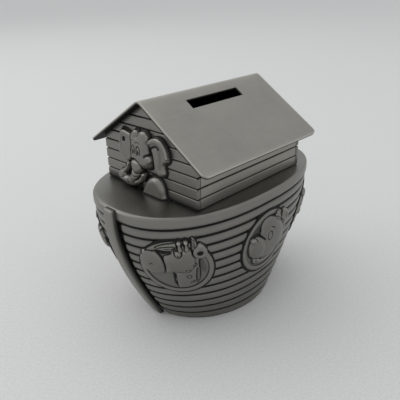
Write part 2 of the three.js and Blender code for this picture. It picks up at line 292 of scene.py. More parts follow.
def antique_pewter(name, tone=1.0, brush=(1, 1, 1), brushed=0.35, rough=0.36):
    """Brushed pewter with dark oxide and painted shade where its dark attribute is high and rubbed metal where it is
    low.
    The brush scales stretch the scratches: small along the strokes, large across them."""
    paint = Paint(name)
    look = colours()
    blotches = paint.noise(paint.place(), 45.0, 4.0)
    fine = paint.noise(paint.place(), 900.0, 2.0)
    strokes = paint.noise(paint.stretched(brush), 1.0, 4.0, 0.65)
    # the dark attribute: oxide in the hollows, and painted shade inside the box, under the roof, in gaps and at the
    # feet
    grime = paint.attribute("grime")
    dark = (grime * 1.25 + (blotches - 0.5) * 0.35 * (grime * 1.6).clamped() + (fine - 0.5) * 0.1).clamped()
    # the light attribute: rubbed metal, and painted light on the cabin's side walls
    wear = paint.attribute("wear")
    shine = (wear + (strokes - 0.5) * 0.5 * brushed + (blotches - 0.5) * 0.5).clamped()
    face = paint.mix(shine, tuple(tone * c for c in look.pewter), tuple(tone * c for c in look.bright))
    return paint.finish(
        colour=paint.mix(dark, face, look.patina_and_shade_colour),
        metallic=1.0 - 0.92 * dark,
        roughness=(rough + (blotches - 0.5) * 0.12 + (strokes - 0.5) * 0.22 * brushed + dark * 0.25).clamped(),
        normal=paint.bump(strokes * brushed + fine * 0.12, 0.16, 0.0001),
        gloss=0.2,
    )


def black_rubber():
    paint = Paint("black_rubber")
    grain = paint.noise(paint.place(), 1500.0, 3.0)
    dust = paint.noise(paint.place(), 120.0, 4.0)
    return paint.finish(
        colour=paint.mix(dust.power(3.0), colours().rubber, (0.07, 0.068, 0.064)),
        roughness=0.62 + dust * 0.2,
        normal=paint.bump(grain, 0.4, 0.00005),
    )


def pale_floor():
    paint = Paint("pale_floor")
    speckle = ((paint.noise(paint.place(), 900.0, 3.0, 0.7) - 0.5) * 3.0 + 0.5).clamped()
    tone = colours().floor
    return paint.finish(
        colour=paint.mix(speckle, tuple(0.93 * c for c in tone), tuple(1.05 * c for c in tone)),
        roughness=0.75, gloss=0.2,
    )


# ---- Meshes -------------------------------------------------------------------------------------


def put(name, verts, faces, material, body, slot, replaced=(), smooth=30.0, **attributes):
    """Makes a piece of mesh code, in millimetres, and sets it in the frame in place of the parts it replaces."""
    mesh = bpy.data.meshes.new(name)
    points = np.asarray(verts).reshape(-1, 3) * MM
    mesh.from_pydata(points.tolist(), [], [list(map(int, face)) for face in faces])
    piece = bpy.data.objects.new(name, mesh)
    bpy.context.collection.objects.link(piece)
    for key, values in attributes.items():
        mesh.attributes.new(key, "FLOAT", "POINT").data.foreach_set("value", np.ravel(values).astype(float))
    return settle(piece, material, body, replaced, smooth)


def settle(piece, material, body, replaced, smooth=30.0):
    """Shades a finished piece, gives it its material and places it in the frame."""
    if smooth:
        pick(piece)
        bpy.ops.object.shade_smooth_by_angle(angle=math.radians(smooth))
    piece.data.materials.clear()
    piece.data.materials.append(material)
    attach(piece, body)
    if replaced:
        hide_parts(*replaced)
    return piece


def pick(*pieces):
    bpy.ops.object.select_all(action="DESELECT")
    for piece in pieces:
        piece.select_set(True)
    bpy.context.view_layer.objects.active = pieces[0]


def sheet_faces(rows, columns, close_rows=False, close_columns=False):
    """Quads over a grid of points, numbered row by row."""
    r = np.arange(rows if close_rows else rows - 1)
    c = np.arange(columns if close_columns else columns - 1)
    i, j = np.meshgrid(r, c, indexing="ij")
    i2, j2 = (i + 1) % rows, (j + 1) % columns
    quads = np.stack([i * columns + j, i * columns + j2, i2 * columns + j2, i2 * columns + j], -1)
    return quads.reshape(-1, 4)


def full_turn(count):
    return np.linspace(0, 2 * math.pi, count, endpoint=False)


def mirrored(verts, faces):
    return np.asarray(verts) * (1, -1, 1), [face[::-1] for face in faces]


# ---- Hull shape -----------------------------------------------------------------------------------


def waterline(z):
    """Half length, half beam and fullness of the hull at a height."""
    rise = np.clip(np.asarray(z, dtype=float) / HULL_HEIGHT, 0, 1)
    a = FOOT_HALF_LENGTH + (DECK_HALF_LENGTH - FOOT_HALF_LENGTH) * (1 - (1 - rise) ** FLARE_LENGTHWISE)
    b = FOOT_HALF_BEAM + (DECK_HALF_BEAM - FOOT_HALF_BEAM) * (1 - (1 - rise) ** FLARE_SIDEWAYS)
    return a, b, FULLNESS_AT_FOOT + (FULLNESS_AT_DECK - FULLNESS_AT_FOOT) * rise


def plan_point(z, turn, out=0.0):
    """A point on a waterline, moved outwards. The turn is 0 at the stern and -pi/2 to starboard."""
    a, b, n = waterline(z)
    c, s = np.cos(turn), np.sin(turn)
    scale = (np.abs(c) ** n + np.abs(s) ** n) ** (-1 / n)
    nx = np.sign(c) * np.abs(c * scale) ** (n - 1) / a
    ny = np.sign(s) * np.abs(s * scale) ** (n - 1) / b
    length = np.hypot(nx, ny)
    x = a * c * scale + out * nx / length
    y = b * s * scale + out * ny / length
    return x, y, np.broadcast_to(z, x.shape)


class HullPatch:
    """The hull side round a porthole, measured along the waterline, up the side and out from it."""

    STEPS = 10
    PROBE = 0.01

    def __init__(self, turn, height):
        self.turn, self.height = turn, height
        top = np.array(plan_point(height + 1.0, turn)[:2])
        foot = np.array(plan_point(height - 1.0, turn)[:2])
        outwards = np.array(plan_point(height, turn, 1.0)[:2]) - np.array(plan_point(height, turn)[:2])
        self.lean = math.atan2(float((top - foot) @ outwards), 2.0)

    def __call__(self, along, up, out):
        z = self.height + up * math.cos(self.lean)
        turn = np.full(np.shape(along), self.turn)
        for _ in range(self.STEPS):
            ahead, behind = (plan_point(z, turn + side * self.PROBE) for side in (1, -1))
            speed = np.hypot(ahead[0] - behind[0], ahead[1] - behind[1]) / (2 * self.PROBE)
            turn = turn + along / self.STEPS / speed
        x, y, _ = plan_point(z, turn, out * math.cos(self.lean))
        return np.stack([x, y, z - out * math.sin(self.lean)], -1)


def gable_patch(across, up, out):
    """The front gable, measured across to starboard, up from the deck and out from the boards."""
    return np.stack([CABIN_FRONT - out, -across, DECK_TOP + up], -1)


# ---- Relief modelling -----------------------------------------------------------------------------


def smooth_line(points, closed, steps=8):
    """A smooth curve through points."""
    p = np.array(points, dtype=float)
    count = len(p)
    spans = count if closed else count - 1
    t = np.linspace(0, 1, steps, endpoint=False)[:, None]
    out = []
    for i in range(spans):
        if closed:
            p0, p1, p2, p3 = (p[(i + k) % count] for k in (-1, 0, 1, 2))
        else:
            p0, p1, p2, p3 = (p[min(max(i + k, 0), count - 1)] for k in (-1, 0, 1, 2))
        out.append(
            0.5 * (2 * p1 + (p2 - p0) * t + (2 * p0 - 5 * p1 + 4 * p2 - p3) * t**2
                   + (3 * p1 - p0 - 3 * p2 + p3) * t**3)
        )
    if not closed:
        out.append(p[-1:])
    return np.vstack(out)


def oval(across, up, wide, tall, tilt=0.0, count=28):
    turn = full_turn(count)
    c, s = math.cos(math.radians(tilt)), math.sin(math.radians(tilt))
    x, y = wide * np.cos(turn), tall * np.sin(turn)
    return np.stack([across + c * x - s * y, up + s * x + c * y], -1)


def blur(field, cells):
    reach = max(int(3 * cells), 1)
    kernel = np.exp(-0.5 * (np.arange(-reach, reach + 1) / cells) ** 2)
    kernel /= kernel.sum()
    padded = np.pad(field, reach, mode="edge")
    rows = sum(k * padded[i:i + field.shape[0], :] for i, k in enumerate(kernel))
    return sum(k * rows[:, i:i + field.shape[1]] for i, k in enumerate(kernel))


class Relief:
    """A modelled surface over a flat grid, built up in layers as a sculptor would in wax."""

    FLOOR = -1.0
    KEPT_ABOVE = -0.35
    LOWEST = -0.5
    BACK = -0.7
    LINE = 0.38  # half width of the contours cut round a pad or a cord

    def __init__(self, low, high, cell):
        self.cell = cell
        across = np.arange(low[0], high[0] + cell, cell)
        up = np.arange(low[1], high[1] + cell, cell)
        self.u, self.v = np.meshgrid(across, up)
        self.height = np.full(self.u.shape, self.FLOOR)
        # dark marks: oxide in cut lines and hollows, and painted shade in some recesses and at the foot
        self.patina_and_shade_marks = np.zeros(self.u.shape)

    def to_segment(self, x0, y0, x1, y1):
        """How far along a segment each point's nearest place lies, as a share, and the distance to it."""
        dx, dy = x1 - x0, y1 - y0
        t = np.clip(((self.u - x0) * dx + (self.v - y0) * dy) / max(dx * dx + dy * dy, 1e-9), 0, 1)
        return t, np.hypot(self.u - x0 - t * dx, self.v - y0 - t * dy)

    def in_oval(self, across, up, wide, tall, tilt):
        """Squared distance from an oval's middle, 1 on its edge."""
        c, s = math.cos(math.radians(tilt)), math.sin(math.radians(tilt))
        x = ((self.u - across) * c + (self.v - up) * s) / wide
        y = (-(self.u - across) * s + (self.v - up) * c) / tall
        return x * x + y * y

    def near(self, line, closed):
        """Distance to a line of points, and where the grid lies inside it."""
        ends = np.roll(line, -1, 0) if closed else line[1:]
        starts = line if closed else line[:-1]
        nearest = np.full(self.u.shape, 1e9)
        inside = np.zeros(self.u.shape, dtype=bool)
        for (x0, y0), (x1, y1) in zip(starts, ends):
            nearest = np.minimum(nearest, self.to_segment(x0, y0, x1, y1)[1])
            if closed and y1 != y0:
                edge = x0 + (self.v - y0) * (x1 - x0) / (y1 - y0)
                inside ^= ((y0 > self.v) != (y1 > self.v)) & (self.u < edge)
        return nearest, inside

    def depth(self, outline, smooth=True):
        """Signed distance to an outline, positive inside."""
        line = smooth_line(outline, True) if smooth else np.asarray(outline)
        nearest, inside = self.near(line, True)
        return np.where(inside, nearest, -nearest)

    def pillow(self, outline, base, rise, edge, smooth=True, contour=0.5, blend=0.0):
        """Adds a pad with a rounded edge. Its foot cuts a contour into what it lies on."""
        deep = self.depth(outline, smooth)
        t = np.clip(blur(deep, 0.2 * edge / self.cell) / edge, 0, 1)
        pad = np.where(deep > 0, base + rise * np.sqrt(1 - (1 - t) ** 2), base + 4 * deep)
        if contour:
            cut = np.exp(-((deep / self.LINE) ** 2)) * contour
            rising = (self.height > 0.1) & (deep < 0.3)
            self.height = np.where(rising, self.height - cut, self.height)
        self.merge(pad, blend)
        return deep

    def ball(self, across, up, wide, tall, tilt, base, rise, blend=0.0):
        """Adds a dome on an oval foot."""
        r = self.in_oval(across, up, wide, tall, tilt)
        self.merge(np.where(r < 1, base + rise * np.sqrt(np.clip(1 - r, 0, 1)), base - 6 * (np.sqrt(r) - 1)), blend)

    def tube(self, points, radii, base, rise, contour=0.0, blend=0.0):
        """Adds a round cord that follows a line and changes thickness along it."""
        line = smooth_line([(x, y, r) for (x, y), r in zip(points, radii)], False)
        best = np.full(self.u.shape, -9.0)
        for (x0, y0, r0), (x1, y1, r1) in zip(line[:-1], line[1:]):
            t, away = self.to_segment(x0, y0, x1, y1)
            best = np.maximum(best, 1 - away / (r0 + (r1 - r0) * t))
        if contour:
            cut = np.exp(-((best * np.mean(radii) / self.LINE) ** 2)) * contour
            self.height = np.where((self.height > 0.1) & (best < 0.1), self.height - cut, self.height)
        pad = np.where(best > 0, base + rise * np.sqrt(np.clip(1 - (1 - best) ** 2, 0, 1)), base + 6 * best)
        self.merge(pad, blend)

    def merge(self, pad, blend):
        """Lays a pad on the surface, which hides the dark marks that it covers."""
        self.patina_and_shade_marks = np.where(pad > self.height + 0.05, 0.0, self.patina_and_shade_marks)
        if blend:
            both = np.logaddexp(self.height / blend, pad / blend) * blend
            self.height = np.where(self.height > 0, both, np.maximum(self.height, pad))
        else:
            self.height = np.maximum(self.height, pad)

    def carve(self, points, width, depth, closed=False, smooth=True, patina_and_shade_marks=0.9):
        """Cuts a rounded groove and darkens it."""
        line = smooth_line(points, closed) if smooth else np.asarray(points, dtype=float)
        nearest, _ = self.near(line, closed)
        cut = np.exp(-((nearest / (0.6 * width)) ** 2))
        self.height = self.height - depth * cut
        self.patina_and_shade_marks = np.maximum(self.patina_and_shade_marks, patina_and_shade_marks * cut)

    def hollow(self, across, up, wide, tall, tilt, depth, patina_and_shade_marks=0.75):
        """Presses a dish into the surface."""
        dish = np.clip(1.15 - self.in_oval(across, up, wide, tall, tilt), 0, 1)
        self.height = self.height - depth * dish
        self.patina_and_shade_marks = np.maximum(self.patina_and_shade_marks, patina_and_shade_marks * np.clip(dish * 1.6, 0, 1))

    def fillet(self, solid, reach=1.3, start=0.3, fall=0.22):
        """Leaves a thin dark foot round everything that stands up from the surface."""
        foot = start - fall * solid
        self.height = np.maximum(self.height, np.where(solid < reach, foot, self.FLOOR))

    def colours(self):
        """Dark where the surface lies lower than what is round it, as oxide in the tight hollows and as painted shade
        spread wider round raised parts and along their feet, and rubbed where it stands higher.
        """
        shape = np.maximum(self.height, -0.2)
        tight = blur(shape, 0.45 / self.cell) - shape
        wide = blur(shape, 1.5 / self.cell) - shape
        grime = np.clip(2.6 * tight, 0, 1) + np.clip(0.55 * wide, 0, 0.5) + self.patina_and_shade_marks
        grime = grime + np.clip((0.42 - shape) / 0.3, 0, 1)
        return np.clip(grime, 0, 1), np.clip(-1.4 * tight + 0.1, 0, 1)

    def piece(self, name, patch, material, slot, node, mirror=False):
        """Turns the grid into a closed solid on a patch of the ark."""
        grime, wear = self.colours()
        keep = self.height > self.KEPT_ABOVE
        cells = keep[:-1, :-1] | keep[1:, :-1] | keep[:-1, 1:] | keep[1:, 1:]
        one, two = cells[:-1, :-1] & cells[1:, 1:], cells[1:, :-1] & cells[:-1, 1:]
        cells[1:, :-1] |= one & ~two
        cells[:-1, :-1] |= two & ~one
        rows, columns = self.u.shape
        quads = sheet_faces(rows, columns)[cells.reshape(-1)]
        used = np.zeros(rows * columns, dtype=bool)
        used[quads.reshape(-1)] = True
        number = np.cumsum(used) - 1
        top = patch(self.u, self.v, np.maximum(self.height, self.LOWEST)).reshape(-1, 3)[used]
        low = patch(self.u, self.v, np.full(self.u.shape, self.BACK)).reshape(-1, 3)[used]
        top_faces = number[quads]
        count = len(top)
        edges = np.concatenate([top_faces[:, [k, (k + 1) % 4]] for k in range(4)])
        directed = set(map(tuple, edges.tolist()))
        rim = [(a, b) for a, b in directed if (b, a) not in directed]
        walls = [(b, a, a + count, b + count) for a, b in rim]
        faces = top_faces.tolist() + (top_faces[:, ::-1] + count).tolist() + walls
        verts = np.vstack([top, low])
        if mirror:
            verts, faces = mirrored(verts, faces)
        shade = {key: np.tile(values.reshape(-1)[used], 2) for key, values in (("grime", grime), ("wear", wear))}
        return put(name, verts, faces, material, "ark", slot, [node], smooth=60.0, **shade)


# ---- Animals --------------------------------------------------------------------------------------


def porthole_field():
    """The smooth field that each animal's head rises from."""
    reach = PORTHOLE_RADIUS + 4.0
    relief = Relief((-reach, -reach), (reach, reach), sizes().relief_cell)
    radius = PORTHOLE_RADIUS - PORTHOLE_BAND + 0.3
    from_middle = np.hypot(relief.u, relief.v)
    relief.height = np.where(from_middle < radius, FIELD, FIELD - 3.0 * (from_middle - radius))
    relief.patina_and_shade_marks = 0.8 * np.exp(-(((from_middle - radius) / 0.5) ** 2))
    return relief


def finish_porthole(relief, proud):
    """Adds the dark foot round what reaches past the ring, and a dark line where it crosses the ring."""
    relief.fillet(-proud, reach=0.9)
    from_middle = np.hypot(relief.u, relief.v)
    on_ring = (from_middle > PORTHOLE_RADIUS - PORTHOLE_BAND - 0.2) & (from_middle < PORTHOLE_RADIUS + 0.2)
    line = on_ring & (proud > -0.5) & (relief.height < RING_TOP + 0.35)
    relief.height = np.where(line, np.maximum(relief.height, RING_TOP + 0.1 + 0.2 * proud), relief.height)
    relief.patina_and_shade_marks = np.where(line, 1.0, relief.patina_and_shade_marks)
    return relief


def giraffe():
    r = porthole_field()
    # Painted shade: a dark patch with no dish right of the neck, and a dark shallow dish above the face between the
    # muzzle and the ear.
    r.hollow(11.2, 0.6, 1.8, 6.0, 8, 0, patina_and_shade_marks=0.3)
    r.hollow(-3.2, 11.4, 4.4, 2.4, 0, 0.15, patina_and_shade_marks=1.0)
    far_ear = r.pillow([(-7.4, 13.2), (-5.4, 14.6), (-3, 15.4), (-0.6, 15.7), (1.4, 15.9), (1.6, 13.6), (0.2, 12.0),
                        (-2.4, 11.8), (-5, 12.3)], 1.0, 0.8, 1.2)
    r.carve([(-6.4, 13.4), (-4.4, 14.1), (-1.6, 14.4), (0.6, 14.3)], 0.4, 0.4)
    r.hollow(-2.0, 13.0, 2.0, 0.55, 0, 0.2, patina_and_shade_marks=0.35)
    r.pillow([(-0.9, 1), (-1.1, -3), (-1.4, -7), (-1.7, -11), (-1.4, -13.1), (3, -13.1), (6.4, -11.6), (8.3, -9),
              (9.4, -5), (9.7, -1), (10, 3), (10.6, 7), (6, 9), (1, 6)], FIELD, 1.3, 2.4, contour=0.3)
    for x, y, lean in ((5.2, -9.0, 30), (6.6, -8.5, -40)):
        r.carve(oval(x, y, 1.0, 0.45, lean, 12), 0.3, 0.3, closed=True, smooth=False)
    face = r.pillow([(-5.4, -1.4), (-5.2, 4), (-4.8, 8), (-2.6, 8.9), (-1.2, 9.8), (-0.6, 11.4), (0.4, 13),
                     (2.6, 14), (6, 14), (7.4, 12.4), (7.8, 9), (8.2, 5), (8, 1.6), (5, -0.8), (1.4, -1.8),
                     (-2, -1.8)], FIELD, 2.1, 3.6)
    r.ball(3.6, 6, 4.6, 7.5, 0, 1.9, 0.9, blend=0.3)
    r.carve([(-6.2, -1.7), (-3, -1.6), (-1.2, -1.7)], 0.6, 0.35)
    r.carve([(-1.6, -3), (-1.9, -5), (-2.1, -8), (-2.2, -10.6)], 1.0, 0.12, patina_and_shade_marks=0.8)
    muzzle = r.pillow([(-14.4, 9.2), (-13.8, 10.8), (-11.6, 11.3), (-9.2, 11.4), (-7.8, 10.6), (-6.3, 8.4),
                       (-5.2, 5.4), (-4.8, 2), (-5.3, -0.8), (-6, -2.2), (-9, -2.6), (-12.2, -1.9), (-14.4, 0.2),
                       (-15.7, 3.4), (-15.6, 6.6)], 0.9, 1.6, 4.2, contour=0.7)
    r.carve([(-10.6, 4.4), (-10.1, 5.0), (-9.6, 4.6)], 0.45, 0.2, patina_and_shade_marks=0.5)
    r.carve([(-14.0, 10.3), (-13.7, 9.2)], 0.5, 0.5, smooth=False)
    horns = []
    for across in (2.8, 5.7):
        r.tube([(across + 0.1, 12.6), (across, 14.4), (across, 15.7)], [1.0, 0.62, 0.7], 1.2, 1.1, contour=0.8)
        r.ball(across, 15.9, 0.95, 0.8, 0, 1.3, 1.2)
        horns.append(r.depth(oval(across, 15.0, 0.95, 2.0)))
    tuft = r.pillow([(8.0, 11.0), (7.8, 13.4), (8.2, 16.2), (8.8, 17.3), (9.6, 16.4), (10.2, 14.6), (10.2, 12.6),
                     (9.8, 11.0)], 1.2, 1.1, 1.2)
    for step in range(5):
        rise = 11.8 + 1.1 * step
        r.carve([(7.9, rise + 0.5), (8.6, rise + 0.7), (9.3, rise)], 0.32, 0.45)
    ear = r.pillow([(7.9, 9.8), (8.6, 12), (10.2, 13.4), (11.8, 14.0), (13.2, 12.8), (14.3, 10.6), (14.4, 8.4),
                    (13, 6.6), (11, 6.0), (9, 6.8), (8, 8.2)], 1.3, 1.4, 1.6)
    r.hollow(11.0, 9.6, 1.5, 1.4, 0, 1.0, patina_and_shade_marks=0.9)
    r.ball(1.8, 10.3, 1.2, 1.6, 0, 2.5, 0.6)
    r.carve([(0.3, 11.8), (0.4, 9.9), (1.8, 8.7), (3.2, 9.9), (3.3, 11.8)], 0.42, 0.6)
    r.hollow(1.8, 10.0, 0.5, 0.8, 0, 0.2, patina_and_shade_marks=0.5)
    for lash in ((0.9, 12.0, -0.3, 13.2), (1.4, 12.2, 0.5, 13.8), (2.1, 12.3, 1.6, 13.8)):
        r.carve([lash[:2], lash[2:]], 0.4, 0.5, smooth=False)
    for x, y, size in ((4.6, -0.6, 1.15), (4.4, -5.1, 1.05), (8.0, 2.1, 1.0)):
        r.carve(oval(x, y, size, size * 0.95, 20, 12), 0.34, 0.3, closed=True, smooth=False, patina_and_shade_marks=0.6)
    r.carve([(8.6, 0), (8, -3), (7.4, -6), (7.3, -9.0)], 0.45, 0.45)
    for step in range(6):
        y = -0.4 - 1.4 * step
        r.carve([(8.3 - 0.16 * step, y - 0.9), (9.8 - 0.2 * step, y + 0.4)], 0.36, 0.45, smooth=False)
    return finish_porthole(r, np.maximum.reduce([face - 3, far_ear, muzzle, tuft, ear, *horns]))


def hippo():
    r = porthole_field()
    # A dark patch on the field above the snout and left of the head, with no dish.
    r.hollow(-8.6, 8.4, 2.6, 3.4, -45, 0, patina_and_shade_marks=0.5)
    r.pillow([(-9.4, -8), (-7, -9), (-3.4, -10), (0, -10.6), (5, -10.4), (9, -8.6), (11.4, -6.6), (9.4, -9.6),
              (6, -11.8), (1, -12.8), (-4, -12.4), (-8, -10.4)], FIELD, 0.9, 1.4)
    ears = [
        r.pillow([(4.8, 11.2), (5.0, 13.6), (6.2, 14.8), (7.8, 13.2), (9.2, 10.4), (9.0, 8.6), (7, 9.2)], 1.2, 0.9,
                 1.6),
        r.pillow([(10.2, 8), (10.6, 12.2), (12.2, 13.6), (14.8, 12), (16.4, 9), (15.8, 6.4), (13.6, 5.2),
                  (11.4, 5.8)], 1.2, 1.0, 2.0),
    ]
    r.hollow(13.2, 9.6, 1.4, 2.2, 20, 0.2, patina_and_shade_marks=0.15)
    head = r.pillow([(-5.6, 7), (-5.4, 10.4), (-3.4, 12.8), (0, 13.5), (4, 12.4), (8, 10.2), (11, 7.4), (12.8, 4.4),
                     (13.6, 0.8), (13, -3), (11, -6.2), (8, -8.4), (4, -9.8), (0, -10), (-4, -9.2), (-6, -6),
                     (-6.4, 0)], 0.6, 1.9, 5.6, contour=0.4)
    snout = r.pillow([(-13, 2.6), (-12.4, 5.0), (-10.6, 5.9), (-8.2, 5.6), (-5.6, 4.8), (-3, 2.8), (-1.2, -0.4),
                      (-1.2, -4.4), (-3.2, -7.8), (-6.4, -8), (-9.6, -6.8), (-12, -4), (-13, -0.6)], 0.6, 2.3, 4.6,
                     contour=0, blend=0.2)
    r.carve([(-8.0, 6.4), (-6, 5.2), (-4.4, 3.8), (-3.2, 2.6)], 0.7, 0.5)
    r.ball(-10.8, 4.4, 1.8, 1.3, -20, 1.9, 0.8, blend=0.2)
    r.carve([(-9.9, 5.4), (-9.2, 4.5), (-8.9, 3.7)], 0.45, 0.4)
    r.carve([(-11.2, -5.2), (-8.4, -7.2), (-5.0, -8.6), (-2.4, -9.4), (1, -9.8)], 0.5, 0.4)
    r.carve(oval(0.3, 3.5, 1.7, 2.5, 8), 0.38, 0.4, closed=True, smooth=False, patina_and_shade_marks=0.75)
    r.carve([(0.5, 8.3), (2.1, 7.7), (3.5, 6.5)], 0.42, 0.3, patina_and_shade_marks=0.7)
    for x, y in ((-8.2, -7.9), (-5.7, -8.8)):
        r.pillow([(x - 0.9, y + 0.8), (x + 0.8, y + 0.6), (x + 0.9, y - 0.9), (x - 0.5, y - 1.1)], 1.0, 0.8, 0.7,
                 contour=0.6)
    return finish_porthole(r, np.maximum.reduce([head, snout, *ears]))


def lion():
    r = porthole_field()
    turn = full_turn(120)
    reach = 12.7 + 0.9 * np.abs(np.sin(7 * turn)) ** 0.7
    r.pillow(np.stack([reach * np.cos(turn), reach * np.sin(turn)], -1), FIELD, 1.2, 2.2, smooth=False)
    for lock in range(14):
        angle = math.radians(90 + (lock + 0.5) * 360 / 14)
        start, end = (np.array([math.cos(angle + lean), math.sin(angle + lean)]) for lean in (0, 0.14))
        r.carve([7.8 * start, 10.2 * (start + end) / 2, 12.6 * end], 0.45, 0.55)
    for side in (-1, 1):
        r.pillow(oval(side * 7, 8.4, 2.9, 2.7), 1.3, 1.4, 1.5)
        r.hollow(side * 7, 8.6, 1.5, 1.4, 0, 0.8)
    r.pillow([(-8, 3), (-6.8, 6.6), (-3, 9), (0, 9.4), (3, 9), (6.8, 6.6), (8, 3), (7.4, -2), (5, -6.4), (0, -8.4),
              (-5, -6.4), (-7.4, -2)], 1.1, 2.1, 4.0)
    r.ball(0, -8.2, 2.6, 2.1, 0, 1.4, 1.4, blend=0.2)
    for side in (-1, 1):
        r.ball(side * 2.3, -3.7, 3.1, 2.5, side * 8, 2.6, 1.3, blend=0.2)
        r.ball(side * 3.5, 3.0, 1.2, 1.6, 0, 2.9, 0.5)
        r.carve(oval(side * 3.5, 3.0, 1.35, 1.8), 0.4, 0.5, closed=True, smooth=False)
        r.carve([(side * 1.8, 5.4), (side * 3.6, 6.2), (side * 5.2, 5.2)], 0.45, 0.4)
        r.carve([(0, -4.6), (side * 1.4, -6.2), (side * 3.6, -5.8)], 0.45, 0.6)
        for spot in ((2.2, -3.2), (3.4, -3.8), (3.0, -2.4)):
            r.carve(oval(side * spot[0], spot[1], 0.2, 0.2, 0, 6), 0.3, 0.25, closed=True, smooth=False)
    r.pillow([(-1.9, -0.4), (0, 0.3), (1.9, -0.4), (0.9, -2.2), (0, -2.8), (-0.9, -2.2)], 3.7, 0.6, 0.8)
    r.carve([(0, -2.8), (0, -4.6)], 0.4, 0.5, smooth=False)
    return finish_porthole(r, np.full(r.u.shape, -9.0))


